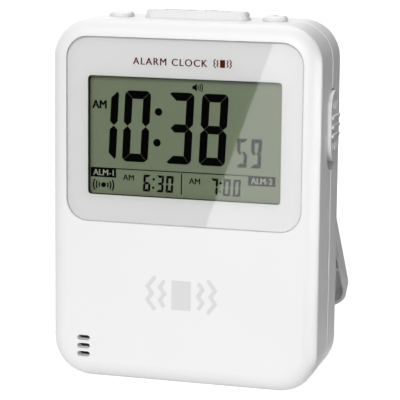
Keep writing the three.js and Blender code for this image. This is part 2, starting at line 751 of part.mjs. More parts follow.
const keys = [
  { name: 'left', x: -keySpacing, body: roundKey(-keySpacing), node: 'left_button' },
  { name: 'snooze', x: 0, body: snoozeBar(), node: 'snooze_bar' },
  { name: 'right', x: keySpacing, body: roundKey(keySpacing), node: 'right_button' },
];
const plungerBottom = plungerTop - plungerLength;
for (const { name, x, body, node } of keys) {
  place(node, asGeometry(body), whitePlastic());
  const housing = asSolid(block([x - switchWidth / 2, x + switchWidth / 2],
    [boardBack + seatGap, boardBack + seatGap + switchDepth], [switchBottom, switchTop]));
  place(`${name}_switch`, asGeometry(cut(housing, [pillar(plungerRadius + boreGap, x, switchRowDepth,
    plungerBottom - keyTravel - boreGap, switchTop + cutPast, smallRoundSteps)])), blackPlastic());
  place(`${name}_plunger`, pillar(plungerRadius, x, switchRowDepth, plungerBottom, plungerTop,
    smallRoundSteps), greyPlastic());
}

// Side slider: a stadium knob with grip ridges, a flange behind the wall and a fork round the lever.
function sideSlider() {
  const centre = atDepth(frontShellDepth);
  const face = halfWidth + sliderProud;
  const flange = roundedOutline(sliderFlangeWidth, sliderFlangeHeight, sliderFlangeWidth / 2,
    centre, sliderFlangeCentreZ);
  const knob = roundedOutline(sliderWidth, sliderHeight, sliderWidth / 2, centre, sliderCentreZ);
  const ridges = Array.from({ length: ridgeCount }, (_, i) => {
    const z = sliderCentreZ + (i - (ridgeCount - 1) / 2) * ridgePitch;
    const ridge = roundedOutline(sliderWidth - 2 * ridgeWidth, ridgeWidth, ridgeWidth / 2, centre, z);
    return crossbar(ridge, face - joinOverlap, face + ridgeHeight);
  });
  const prongReach = leverThickness / 2 + boreGap;
  const prongs = [-1, 1].map((side) => {
    const z = sliderCentreZ + side * (prongReach + prongThickness / 2);
    return block([forkInner, sliderFlangeInner + joinOverlap],
      [frontShellDepth - leverDepth / 2, frontShellDepth + leverDepth / 2],
      [z - prongThickness / 2, z + prongThickness / 2]);
  });
  return join(asSolid(crossbar(flange, sliderFlangeInner, sliderFlangeOuter)), [
    crossbar(knob, sliderFlangeOuter - joinOverlap, face), ...ridges, ...prongs]);
}
place('side_slider', asGeometry(sideSlider()), whitePlastic());

const leverReach = [sideSwitchOuter - leverSink, sliderFlangeInner - boreGap];
const leverSpan = [frontShellDepth - leverDepth / 2, frontShellDepth + leverDepth / 2];
place('slide_switch_lever', block(leverReach, leverSpan,
  [sliderCentreZ - leverThickness / 2, sliderCentreZ + leverThickness / 2]), blackPlastic());

const slideHousing = asSolid(block([sideSwitchInner, sideSwitchOuter],
  [boardBack + seatGap, boardBack + seatGap + sideSwitchHeight],
  [slotCentreZ - sideSwitchLength / 2, slotCentreZ + sideSwitchLength / 2]));
const leverRoom = leverThickness / 2 + boreGap;
const leverWay = block([leverReach[0] - boreGap, sideSwitchOuter + cutPast],
  [leverSpan[0] - boreGap, leverSpan[1] + boreGap],
  [sliderCentreZ - leverRoom - sliderTravel, sliderCentreZ + leverRoom]);
place('slide_switch_housing', asGeometry(cut(slideHousing, [leverWay])), steel());

// Battery cells lie head to tail, with a spring at each flat end.
const cellProfile = [[0, 0], [cellRadius, 0], [cellRadius, cellLength - nubLength],
  [nubRadius, cellLength - nubLength], [nubRadius, cellLength], [0, cellLength]];
const upperCellZ = batteryCentreZ + cellPitch / 2;
const lowerCellZ = batteryCentreZ - cellPitch / 2;
const rightContactX = bayRight - boreGap - contactThickness;
const leftContactX = bayLeft + boreGap + contactThickness;

const upperCell = place('battery_upper', turned(cellProfile), finish(0x3a3d42, 0.35, 0.6));
upperCell.rotation.z = -quarter;
upperCell.position.set(rightContactX - boreGap - cellLength, atDepth(cellDepth), upperCellZ);
const lowerCell = place('battery_lower', turned(cellProfile), finish(0x3a3d42, 0.35, 0.6));
lowerCell.rotation.z = quarter;
lowerCell.position.set(leftContactX + boreGap + cellLength, atDepth(cellDepth), lowerCellZ);

class Coil extends THREE.Curve {
  getPoint(t, target = new THREE.Vector3()) {
    const angle = 2 * Math.PI * springTurns * t;
    const run = springLength - 2 * boreGap - 2 * springWire;
    return target.set(run * (t - 0.5), springRadius * Math.cos(angle), springRadius * Math.sin(angle));
  }
}

function wireSection(radius) {
  return new THREE.Shape(Array.from({ length: wireSides }, (_, i) => {
    const angle = (2 * Math.PI * i) / wireSides;
    return new THREE.Vector2(radius * Math.cos(angle), radius * Math.sin(angle));
  }));
}

function wire(path, radius, steps) {
  return new THREE.ExtrudeGeometry(wireSection(radius), { extrudePath: path, steps, bevelEnabled: false });
}

const coil = wire(new Coil(), springWire, springTurns * turnSteps);
place('battery_spring_upper', coil, steel())
  .position.set(leftContactX + springLength / 2, atDepth(cellDepth), upperCellZ);
place('battery_spring_lower', coil, steel())
  .position.set(rightContactX - springLength / 2, atDepth(cellDepth), lowerCellZ);

const contactSpan = [cellDepth - contactSize / 2, cellDepth + contactSize / 2];
place('battery_bridge', block([leftContactX - contactThickness, leftContactX], contactSpan,
  [lowerCellZ - contactSize / 2, upperCellZ + contactSize / 2]), steel());

function terminal(z) {
  const plate = block([rightContactX, rightContactX + contactThickness], contactSpan,
    [z - contactSize / 2, z + contactSize / 2]);
  const tail = block([rightContactX, rightContactX + contactThickness],
    [boardBack + seatGap, contactSpan[0] + joinOverlap], [z - tailWidth / 2, z + tailWidth / 2]);
  return join(asSolid(plate), [tail]);
}
place('battery_terminal_upper', asGeometry(terminal(upperCellZ)), steel());
place('battery_terminal_lower', asGeometry(terminal(lowerCellZ)), steel());

// Battery door: hooks under its lower edge, on which it swings open.
function batteryDoor() {
  const plate = slab(roundedOutline(doorWidth, doorHeight, doorCorner, bayCentreX, batteryCentreZ),
    doorFront, doorBack);
  const hookBack = doorSeat - slideGap;
  const hookFront = hookBack - hookThickness;
  const hookTop = doorBottom + doorLap + hookThickness;
  const hooks = hookPlaces().flatMap((x) => [
    block([x, x + hookWidth], [hookFront, hookBack], [doorBottom - hookReach, hookTop]),
    block([x, x + hookWidth], [hookFront, doorFront + joinOverlap], [doorBottom + slideGap, hookTop]),
  ]);
  return join(asSolid(plate), hooks);
}
place('battery_door', asGeometry(batteryDoor()), whitePlastic());

// Stand: a broad tray with a rim and ribs. Its frame has the hinge axis as origin and hangs down when shut.
function standTray() {
  const halfSpan = halfWidth - standInset;
  const radius = cornerRadius - standInset;
  const outline = new THREE.Shape();
  outline.moveTo(-halfSpan, standHeel);
  outline.lineTo(-halfSpan, radius - standLength);
  outline.absarc(-halfSpan + radius, radius - standLength, radius, 2 * quarter, 3 * quarter);
  outline.absarc(halfSpan - radius, radius - standLength, radius, 3 * quarter, 4 * quarter);
  outline.lineTo(halfSpan, standHeel);
  const pocketTop = -(lugSweep + 2 * slideGap + standRim);
  const pocketRadius = radius - standRim;
  const pocketHalf = halfSpan - standRim;
  const pocket = new THREE.Shape();
  pocket.moveTo(-pocketHalf, pocketTop);
  pocket.lineTo(-pocketHalf, radius - standLength);
  pocket.absarc(-pocketHalf + pocketRadius, radius - standLength, pocketRadius, 2 * quarter, 3 * quarter);
  pocket.absarc(pocketHalf - pocketRadius, radius - standLength, pocketRadius, 3 * quarter, 4 * quarter);
  pocket.lineTo(pocketHalf, pocketTop);
  const lifted = (shape, from, to) => extruded(shape, to - from).rotateX(quarter).translate(0, to, 0);
  const box = ([x0, x1], [y0, y1], [z0, z1]) => new THREE.BoxGeometry(x1 - x0, y1 - y0, z1 - z0)
    .translate((x0 + x1) / 2, (y0 + y1) / 2, (z0 + z1) / 2);
  const floorInside = standHalf - standFloor;
  const ribDepth = [-standHalf, floorInside + joinOverlap];
  const ribs = [
    box([-pocketHalf - joinOverlap, pocketHalf + joinOverlap], ribDepth,
      [-standRibDrop - standRim, -standRibDrop]),
    ...[-1, 1].map((side) => {
      const x = (side * standRibSpan) / 2;
      return box([x - standRim / 2, x + standRim / 2], ribDepth,
        [-standLength + standRim / 2, pocketTop + joinOverlap]);
    }),
  ];
  const notches = [-1, 1].map((side) => {
    const inner = side * (lugInner - slideGap);
    const outerEdge = side * (lugOuter + slideGap);
    return box([Math.min(inner, outerEdge), Math.max(inner, outerEdge)], [-standThickness, standThickness],
      [-(lugSweep + slideGap), standHeel + cutPast]);
  });
  const pins = [-1, 1].map((side) => {
    const from = side * (lugInner - slideGap - cutPast);
    const to = side * (lugOuter - slideGap);
    return axle(hingePinRadius, Math.min(from, to), Math.max(from, to), 0, 0, smallRoundSteps);
  });
  const tray = cut(asSolid(lifted(outline, -standHalf, standHalf)),
    [lifted(pocket, -standHalf - cutPast, floorInside), ...notches]);
  return join(tray, [...ribs, ...pins]);
}

const standHinge = new THREE.Group();
standHinge.position.set(0, atDepth(hingeDepth), hingeZ);
standHinge.rotation.x = standAngle;
clock.add(standHinge);
place('stand', asGeometry(standTray()), whitePlastic(), standHinge);

// Vibration motor: a can in two saddles under a strap, and an off-centre weight on its shaft.
const motorRight = motorLeft + motorLength;
const motorY = atDepth(motorDepth);
const canBore = shaftRadius + boreGap;
const motorCan = place('vibration_motor', turned([[0, 0], [motorRadius, 0], [motorRadius, motorLength],
  [canBore, motorLength], [canBore, motorLength - shaftSink], [0, motorLength - shaftSink]]), steel());
motorCan.rotation.z = -quarter;
motorCan.position.set(motorLeft, motorY, motorHeight);

const shaftLeft = motorRight - shaftSink + boreGap;
place('motor_shaft', axle(shaftRadius, shaftLeft, shaftLeft + shaftLength, motorY, motorHeight,
  smallRoundSteps), steel());

function eccentricWeight() {
  const from = motorRight + weightStandOff;
  const to = from + weightLength;
  const half = new THREE.Shape();
  half.absarc(motorY, motorHeight, weightRadius, 2 * quarter, 4 * quarter);
  const solid = join(asSolid(crossbar(half, from, to)),
    [axle(weightHubRadius, from, to, motorY, motorHeight)]);
  return cut(solid, [axle(shaftRadius + seatGap, from - cutPast, to + cutPast, motorY, motorHeight,
    smallRoundSteps)]);
}
place('eccentric_weight', asGeometry(eccentricWeight()), finish(0xc2a45f, 0.4, 0.9));

function motorStrap() {
  const inner = motorRadius + boreGap;
  const footY = atDepth(strapFootDepth);
  const outerEdge = strapOuter + strapFoot;
  const strip = new THREE.Shape();
  strip.moveTo(footY, motorHeight - outerEdge);
  strip.lineTo(footY + strapThickness, motorHeight - outerEdge);
  strip.lineTo(footY + strapThickness, motorHeight - strapOuter);
  strip.absarc(motorY, motorHeight, strapOuter, -quarter, quarter);
  strip.lineTo(footY + strapThickness, motorHeight + strapOuter);
  strip.lineTo(footY + strapThickness, motorHeight + outerEdge);
  strip.lineTo(footY, motorHeight + outerEdge);
  strip.lineTo(footY, motorHeight + inner);
  strip.absarc(motorY, motorHeight, inner, quarter, -quarter, true);
  strip.lineTo(footY, motorHeight - inner);
  const band = asSolid(crossbar(strip, strapCentreX - strapWidth / 2, strapCentreX + strapWidth / 2));
  return cut(band, strapScrewPlaces.map(({ x, z }) => peg(strapScrew.shank + boreGap, x, z,
    strapFootDepth - cutPast, strapFootDepth + strapThickness + cutPast)));
}
place('motor_strap', asGeometry(motorStrap()), steel());

// Buzzer in its ring behind the sound slots.
place('buzzer', peg(buzzerRadius, buzzerX, slotFromBottom, buzzerFront, buzzerFront + buzzerHeight,
  roundSteps), blackPlastic());

// Screws, all driven from the back.
function screwGeometry({ head, headHeight, shank, length }) {
  return turned([[0, -length], [shank, -length], [shank, 0], [head, 0], [head, headHeight], [0, headHeight]],
    smallRoundSteps);
}

function placeScrews(places, screw, seatDepth) {
  const geometry = screwGeometry(screw);
  for (const { name, x, z } of places) {
    place(name, geometry, steel()).position.set(x, atDepth(seatDepth + seatGap), z);
  }
}
placeScrews(caseScrewPlaces, caseScrew, caseScrewSeat);
placeScrews(boardScrewPlaces, boardScrew, boardBack);
placeScrews(strapScrewPlaces, strapScrew, strapFootDepth + strapThickness);

// Leads from the motor and the buzzer to the lower edge of the board.
function lead(name, points, color) {
  const route = points.map(([x, depth, z]) => new THREE.Vector3(x, atDepth(depth), z));
  place(name, wire(new THREE.CatmullRomCurve3(route), leadRadius, leadSteps), finish(color, 0.6));
}

const solderDepth = boardBack + seatGap + leadRadius;
const solderZ = boardBottom + boardScrewEdge;
const leadMidZ = (motorHeight + solderZ) / 2;
const buzzerBack = buzzerFront + buzzerHeight;
const motorLeadX = motorLeft - leadSway;
const buzzerLeadX = motorLeadX - leadSpacing;
const buzzerPadX = padFromScrew - boardScrewX;
const motorPadX = buzzerPadX + padPitch;
lead('motor_lead', [
  [motorLeft - slideGap, motorDepth, motorHeight],
  [motorLeft - leadStub, motorDepth, motorHeight],
  [motorLeadX, motorDepth, motorHeight + leadStub],
  [motorLeadX, motorDepth, leadMidZ],
  [motorPadX, solderDepth + leadLift, boardBottom - leadStub],
  [motorPadX, solderDepth, solderZ],
], 0xa83232);
lead('buzzer_lead', [
  [buzzerX, buzzerBack + slideGap, slotFromBottom],
  [buzzerX, buzzerBack + leadStub, slotFromBottom],
  [buzzerLeadX, motorDepth, motorHeight],
  [buzzerLeadX, motorDepth, leadMidZ],
  [buzzerPadX, solderDepth + leadLift, boardBottom - leadStub],
  [buzzerPadX, solderDepth, solderZ],
], 0x33363c);

export default clock;
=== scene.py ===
import json
import math

import bmesh
import bpy
from mathutils import Euler, Matrix, Vector

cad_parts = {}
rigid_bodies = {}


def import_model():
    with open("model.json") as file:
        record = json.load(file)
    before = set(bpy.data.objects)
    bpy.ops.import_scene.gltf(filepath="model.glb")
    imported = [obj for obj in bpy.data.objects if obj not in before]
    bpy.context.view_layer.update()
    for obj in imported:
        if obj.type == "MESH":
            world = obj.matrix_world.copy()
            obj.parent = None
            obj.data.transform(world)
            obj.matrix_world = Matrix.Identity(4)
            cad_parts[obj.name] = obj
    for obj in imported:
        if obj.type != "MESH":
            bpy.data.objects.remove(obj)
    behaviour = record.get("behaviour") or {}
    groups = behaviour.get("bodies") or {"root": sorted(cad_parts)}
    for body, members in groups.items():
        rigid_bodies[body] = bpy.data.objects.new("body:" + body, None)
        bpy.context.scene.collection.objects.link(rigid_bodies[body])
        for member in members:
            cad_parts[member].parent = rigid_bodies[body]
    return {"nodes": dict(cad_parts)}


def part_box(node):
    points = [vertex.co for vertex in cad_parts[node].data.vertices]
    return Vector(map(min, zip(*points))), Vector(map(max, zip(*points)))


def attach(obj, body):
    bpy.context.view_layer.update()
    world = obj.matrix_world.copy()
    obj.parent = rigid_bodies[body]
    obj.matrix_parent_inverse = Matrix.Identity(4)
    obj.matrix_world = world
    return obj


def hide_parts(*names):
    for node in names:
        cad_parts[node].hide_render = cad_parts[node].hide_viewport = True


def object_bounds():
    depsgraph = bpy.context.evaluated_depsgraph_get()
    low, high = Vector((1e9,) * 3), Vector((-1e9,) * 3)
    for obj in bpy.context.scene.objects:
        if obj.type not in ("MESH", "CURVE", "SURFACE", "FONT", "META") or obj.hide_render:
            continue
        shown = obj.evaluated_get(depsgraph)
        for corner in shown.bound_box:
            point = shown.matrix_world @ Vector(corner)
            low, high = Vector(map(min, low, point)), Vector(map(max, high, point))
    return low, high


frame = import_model()
cad_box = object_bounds()
scene = bpy.context.scene
scene.view_settings.view_transform = "Standard"


# Case shells: front and back, injection moulded in white ABS with a fine matt texture outside.
# They meet at a parting line round the sides, and four screws from the back hold them together.
class Wire:
    """An output of a node that can be added, multiplied and so on like a number."""

    def __init__(self, owner, socket):
        self.owner = owner
        self.socket = socket

    def _sum(self, operation, first, second):
        return self.owner.add("ShaderNodeMath", {"operation": operation}, {0: first, 1: second})

    def __add__(self, other):
        return self._sum("ADD", self, other)

    def __mul__(self, other):
        return self._sum("MULTIPLY", self, other)

    def __gt__(self, other):
        return self._sum("GREATER_THAN", self, other)

    __radd__ = __add__
    __rmul__ = __mul__


class Nodes:
    """The nodes of a material or of the surround, with one way to add any of them."""

    def __init__(self, tree):
        self.nodes = tree.nodes
        self.links = tree.links

    def add(self, kind, settings=None, sockets=None, output=0):
        """Adds any node: its type, its settings, then the values or links of its sockets."""
        node = self.nodes.new(kind)
        for key, value in (settings or {}).items():
            setattr(node, key, value)
        for key, value in (sockets or {}).items():
            self.put(node.inputs[key], value)
        return Wire(self, node.outputs[output])

    def put(self, socket, value):
        if isinstance(value, Wire):
            self.links.new(value.socket, socket)
        else:
            socket.default_value = value


class Finish(Nodes):
    """A material: a Principled shader and the nodes that vary it over the surface."""

    def __init__(self, name, **constants):
        self.material = bpy.data.materials.new(name)
        self.material.use_nodes = True
        super().__init__(self.material.node_tree)
        self.shader = self.nodes["Principled BSDF"]
        self.feed(**constants)

    def feed(self, **inputs):
        """Sets the shader's own sockets, or links what varies to them."""
        for socket, value in inputs.items():
            self.put(self.shader.inputs[socket.replace("_", " ")], value)

    def place(self):
        return self.add("ShaderNodeTexCoord", output="Object")

    def axis(self, name):
        return self.add("ShaderNodeSeparateXYZ", None, {0: self.place()}, name)

    def noise(self, scale, detail, stretch=(1, 1, 1)):
        where = self.add("ShaderNodeMapping", None, {"Vector": self.place(), "Scale": stretch})
        return self.add("ShaderNodeTexNoise", None,
                        {"Vector": where, "Scale": scale, "Detail": detail})

    def blend(self, factor, first, second):
        return self.add("ShaderNodeMix", {"data_type": "RGBA"}, {0: factor, 6: first, 7: second}, 2)

    def bump(self, height, depth):
        return self.add("ShaderNodeBump", None,
                        {"Height": height, "Distance": depth, "Strength": 1.0})


CLOUD_SCALE = 55
SHEEN_SPREAD = 0.1


def grey(level):
    return (level, level, level, 1)


def moulded(name, light, dark, roughness, grain, relief):
    """Moulded plastic: a faint cloudiness in the colour and a fine even texture from the tool."""
    finish = Finish(name)
    cloud = finish.noise(CLOUD_SCALE, 3)
    texture = finish.noise(grain, 2)
    finish.feed(Base_Color=finish.blend(cloud, dark, light),
                Roughness=roughness - SHEEN_SPREAD / 2 + SHEEN_SPREAD * texture,
                Normal=finish.bump(texture, relief))
    return finish


def soften(piece, angle):
    """Joins the loose triangles for shading, keeps sharp edges sharp and flat faces flat."""
    mesh = piece.data
    mesh.polygons.foreach_set("use_smooth", [True] * len(mesh.polygons))
    piece.modifiers.new("join", "WELD").merge_threshold = 1e-6
    piece.modifiers.new("creases", "EDGE_SPLIT").split_angle = math.radians(angle)
    piece.modifiers.new("shading", "WEIGHTED_NORMAL").keep_sharp = True


def dress(finish, *names, angle=28):
    """Gives CAD nodes their finish and smooth shading."""
    for name in names:
        node = frame["nodes"][name]
        node.data.materials.clear()
        node.data.materials.append(finish.material)
        soften(node, angle)


case_white = moulded("white_case_plastic", (0.875, 0.875, 0.872, 1), (0.855, 0.857, 0.857, 1),
                     roughness=0.46, grain=2600, relief=9e-6)
dress(case_white, "front_shell", "back_shell")


# Front print: a pale grey sign for vibration on the lower front, pad printed on the plastic.
# A plain panel with two wavy strokes on each side of it.
MM = 0.001
NEAR = 0.01
FACING_FRONT = (math.pi / 2, 0, 0)


def deselect():
    bpy.ops.object.select_all(action="DESELECT")


def only(piece):
    """Leaves one piece selected and active."""
    deselect()
    bpy.context.view_layer.objects.active = piece
    piece.select_set(True)


def fix_place():
    """Puts the place, turn and scale of the active piece into its mesh."""
    bpy.ops.object.transform_apply(location=True, rotation=True, scale=True)


def flat(name, x, z, y):
    """A flat patch that faces the front, between limits in millimetres."""
    deselect()
    bpy.ops.mesh.primitive_plane_add(size=1, rotation=FACING_FRONT,
                                     location=(sum(x) / 2, y, sum(z) / 2))
    piece = bpy.context.object
    piece.name = name
    piece.scale = (x[1] - x[0], z[1] - z[0], 1)
    fix_place()
    return piece


def edit(piece):
    only(piece)
    bpy.ops.object.mode_set(mode="EDIT")


def done():
    bpy.ops.object.mode_set(mode="OBJECT")


def choose(piece, part, test):
    """Picks, in edit mode, the vertices, edges or faces of a piece that pass a test."""
    bpy.ops.mesh.select_mode(type=part)
    bpy.ops.mesh.select_all(action="DESELECT")
    mesh = bmesh.from_edit_mesh(piece.data)
    for item in {"VERT": mesh.verts, "EDGE": mesh.edges, "FACE": mesh.faces}[part]:
        if test(item):
            item.select_set(True)
    bmesh.update_edit_mesh(piece.data)


def apply_modifiers(piece):
    only(piece)
    for modifier in list(piece.modifiers):
        bpy.ops.object.modifier_apply(modifier=modifier.name)


def ink(piece, thickness):
    """Gives a flat print its thickness, from its face inwards."""
    layer = piece.modifiers.new("thickness", "SOLIDIFY")
    layer.thickness = thickness
    layer.offset = -1
    apply_modifiers(piece)


def join(name, pieces):
    deselect()
    for piece in pieces:
        piece.select_set(True)
    bpy.context.view_layer.objects.active = pieces[0]
    bpy.ops.object.join()
    pieces[0].name = name
    return pieces[0]


def settle(piece, body, slot, *finishes):
    """Brings a piece from millimetres to metres, gives it its finishes and says what it rides on;
    the slot is not used.
    """
    only(piece)
    piece.scale = (MM, MM, MM)
    fix_place()
    piece.data.name = piece.name
    for finish in finishes:
        piece.data.materials.append(finish.material)
    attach(piece, body)


def print_or_painted_shade(name, first, second, roughness, grain, gloss, detail=1):
    """Print, or painted shade: a fine grain in the colour and in the sheen."""
    finish = Finish(name, Specular_IOR_Level=gloss)
    speckle = finish.noise(grain, detail)
    finish.feed(Base_Color=finish.blend(speckle, first, second),
                Roughness=roughness + SHEEN_SPREAD * speckle)
    return finish


STROKE_ROUNDING = 0.36


def stroke(x, z, width, runs, y):
    """A zigzag with round ends, drawn down through runs, each an offset across and a drop."""
    (across, drop), *rest = runs
    piece = flat("stroke", (x - width / 2, x + width / 2), (z - drop, z), y)
    edit(piece)
    choose(piece, "EDGE", lambda edge: all(v.co.z < z - drop / 2 for v in edge.verts))
    bpy.ops.transform.translate(value=(across, 0, 0))
    for across, drop in rest:
        bpy.ops.mesh.extrude_region_move(TRANSFORM_OT_translate={"value": (across, 0, -drop)})
    foot = (x + sum(run[0] for run in runs), z - sum(run[1] for run in runs))
    ends = []
    for (end_x, end_z), (across, drop) in (((x, z), runs[0]), (foot, runs[-1])):
        lean = width * across / (across ** 2 + drop ** 2) / 2
        for side in (-1, 1):
            choose(piece, "VERT",
                   lambda v: (v.co.x - end_x) * side > 0 and abs(v.co.z - end_z) < NEAR)
            bpy.ops.transform.translate(value=(-side * lean * across, 0, side * lean * drop))
            ends.append((end_x + side * (width / 2 - lean * across), end_z + side * lean * drop))
    choose(piece, "VERT", lambda v: any(math.dist((v.co.x, v.co.z), end) < NEAR for end in ends))
    bpy.ops.mesh.bevel(affect="VERTICES", offset=width * STROKE_ROUNDING, segments=4)
    done()
    return piece


SIGN_PANEL = ((-2.87, 2.87), (-4.4, 4.13))
SIGN_STROKE = 1.45
SHORT_ZIGZAG = ((4.95, 3.9), [(1.35, 1.95), (-1.35, 1.95)] * 2)
LONG_ZIGZAG = ((7.65, 4.95), [(2.3, 3.0), (-1.3, 1.95), (1.3, 1.95), (-2.3, 3.0)])


def vibration_sign(name, x, z, scale, y):
    """The sign for vibration: a panel and, on each side, a short and a long zigzag."""
    strokes = [flat(name, [x + edge * scale for edge in SIGN_PANEL[0]],
                    [z + edge * scale for edge in SIGN_PANEL[1]], y)]
    for side in (-1, 1):
        for (start_x, start_z), runs in (SHORT_ZIGZAG, LONG_ZIGZAG):
            drawn = [(side * across * scale, drop * scale) for across, drop in runs]
            strokes.append(stroke(x + side * start_x * scale, z + start_z * scale,
                                  SIGN_STROKE * scale, drawn, y))
    return join(name, strokes)


FRONT = cad_box[0].y / MM
SIGN_HEIGHT = 26.2
SIGN_PROUD = 0.03
SIGN_THICKNESS = 0.05
print_grey = print_or_painted_shade("pale_grey_print", grey(0.70), grey(0.735), roughness=0.42, grain=5200,
                     gloss=0.4)
front_sign = vibration_sign("front_sign", 0, SIGN_HEIGHT, 1, FRONT - SIGN_PROUD)
ink(front_sign, SIGN_THICKNESS)
settle(front_sign, "case", "white_plastic", print_grey)


# Display: a liquid crystal cell of two glass plates, olive grey behind, in a white holder.
# The walls of the opening in front of it are coloured dark olive: painted shade.
lcd_olive = Finish("display_cell", Specular_IOR_Level=0.1)
fine = lcd_olive.noise(7000, 1)
tint = lcd_olive.noise(28, 2)
glow = lcd_olive.blend(tint, (0.194, 0.231, 0.15, 1), (0.21, 0.248, 0.163, 1))
lcd_olive.feed(Base_Color=lcd_olive.blend(0.12 * fine, glow, (0.05, 0.06, 0.04, 1)),
               Roughness=0.34 + SHEEN_SPREAD * fine)
dress(lcd_olive, "lcd_glass")

# painted shade: the walls of the opening round the display are coloured dark olive, as if in shadow
opening_shade = print_or_painted_shade("opening_painted_shade", (0.03, 0.036, 0.023, 1), (0.045, 0.053, 0.035, 1),
                     roughness=0.7, grain=4200, gloss=0.2, detail=2)
front = frame["nodes"]["front_shell"].data
front.materials.append(opening_shade.material)
GLASS_LOW, GLASS_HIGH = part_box("lcd_glass")
for face in front.polygons:
    before = all(GLASS_LOW[axis] < face.center[axis] < GLASS_HIGH[axis] for axis in (0, 2))
    wall = abs(face.normal.y) < 0.5 and face.center.y < GLASS_LOW.y
    face.material_index = int(before and wall)


# Figures of the display: the time, the seconds and two alarm times, dark in the cell.
# Each is made of seven bars with cut ends and a hair gap between them, leaning to the right.
INK_LIFT, INK_THICKNESS = 0.03, 0.04
INK = GLASS_LOW.y / MM - INK_LIFT
LEAN = 0.049
LIT = {"0": "abcdef", "1": "bc", "3": "abcdg", "5": "acdfg", "6": "acdefg", "7": "abc",
       "8": "abcdefg", "9": "abcdfg"}
SEAT = {"a": (0, 1), "b": (1, 1), "c": (1, -1), "d": (0, -1), "e": (-1, -1), "f": (-1, 1),
        "g": (0, 0)}
CORNER_CUTS = (22.5, 45, 67.5)
SPLIT_THICKNESS = 0.38
MIDDLE_BAR, LEVEL_BARS = 1 / 8, 0.4
CUT_WIDTH = 1e-5


def bar(x, z, cuts):
    """Adds one bar to the figure being edited and cuts its ends at the given lines."""
    centre = (sum(x) / 2, 0, sum(z) / 2)
    bpy.ops.mesh.select_all(action="DESELECT")
    bpy.ops.mesh.primitive_plane_add(size=1, rotation=FACING_FRONT, location=centre)
    bpy.ops.transform.resize(value=(x[1] - x[0], 1, z[1] - z[0]), center_override=centre)
    for (point_x, point_z), (normal_x, normal_z) in cuts:
        bpy.ops.mesh.bisect(plane_co=(point_x, 0, point_z), plane_no=(normal_x, 0, normal_z),
                            clear_outer=True, threshold=CUT_WIDTH)
        bpy.ops.mesh.select_linked()


def seven_bars(name, size, upright, level, gap, corner, split=0):
    """All seven bars of a figure, about the origin, with the figure's outer corners rounded."""
    w, h = size[0] / 2, size[1] / 2
    tip = w - upright / 2
    piece = flat(name, (-1, 1), (-1, 1), 0)
    edit(piece)
    bpy.ops.mesh.select_mode(type="VERT")
    bpy.ops.mesh.select_all(action="SELECT")
    bpy.ops.mesh.delete(type="VERT")
    for up in (1, -1):
        bar((-w, w), sorted((up * h, up * (h - level))),
            [((side * (w - gap), up * h), (side, -up)) for side in (-1, 1)])
        for side in (-1, 1):
            bar(sorted((side * w, side * (w - upright))), sorted((0, up * h)),
                [((side * w, up * (h - gap)), (-side, up)), ((side * tip, up * gap), (1, -up)),
                 ((side * tip, up * gap), (-1, -up))])
    if split:
        half = level * SPLIT_THICKNESS
        for side in (-1, 1):
            bar(sorted((side * split, side * (tip - 2 * gap))), (-half, half), [])
    else:
        bar((-tip, tip), (-level / 2, level / 2),
            [((side * (tip - gap), 0), (side, lean)) for side in (-1, 1) for lean in (-1, 1)])
    bpy.ops.mesh.select_all(action="SELECT")
    for side in (-1, 1):
        for up in (-1, 1):
            for turn in CORNER_CUTS:
                x, z = side * math.cos(math.radians(turn)), up * math.sin(math.radians(turn))
                rim = (side * (w - corner) + corner * x, 0, up * (h - corner) + corner * z)
                bpy.ops.mesh.bisect(plane_co=rim, plane_no=(x, 0, z), clear_outer=True,
                                    threshold=CUT_WIDTH)
                bpy.ops.mesh.select_all(action="SELECT")
    done()
    return piece


def figure(bars, number, x, z, height):
    """A copy of the seven bars with only the lit ones left, leaning and in its place."""
    piece = bars.copy()
    piece.data = bars.data.copy()
    scene.collection.objects.link(piece)
    lit = {SEAT[letter] for letter in LIT[number]}

    def unlit(face):
        at = face.calc_center_median()
        if abs(at.z) < MIDDLE_BAR * height:
            return SEAT["g"] not in lit
        across = 0 if abs(at.z) > LEVEL_BARS * height else int(math.copysign(1, at.x))
        return (across, int(math.copysign(1, at.z))) not in lit

    edit(piece)
    choose(piece, "FACE", unlit)
    bpy.ops.mesh.delete(type="FACE")
    done()
    for vertex in piece.data.vertices:
        vertex.co += Vector((x + LEAN * vertex.co.z, INK, z))
    return piece


def dot(x, z, radius):
    deselect()
    bpy.ops.mesh.primitive_circle_add(vertices=24, radius=radius, fill_type="NGON",
                                      rotation=FACING_FRONT, location=(x, INK, z))
    fix_place()
    return bpy.context.object


def readout(name, bars, numbers, centre, height, dots=()):
    """A row of figures and dots as one piece of display ink."""
    parts = [figure(bars, number, x, centre, height) for number, x in numbers]
    row = join(name, parts + [dot(*spot) for spot in dots])
    ink(row, INK_THICKNESS)
    settle(row, "case", "lcd_glass", segment_ink)
    bpy.data.objects.remove(bars)


segment_ink = print_or_painted_shade("display_segments", (0.001, 0.001, 0.001, 1), (0.002, 0.002, 0.0018, 1),
                      roughness=0.4, grain=6000, gloss=0.0)

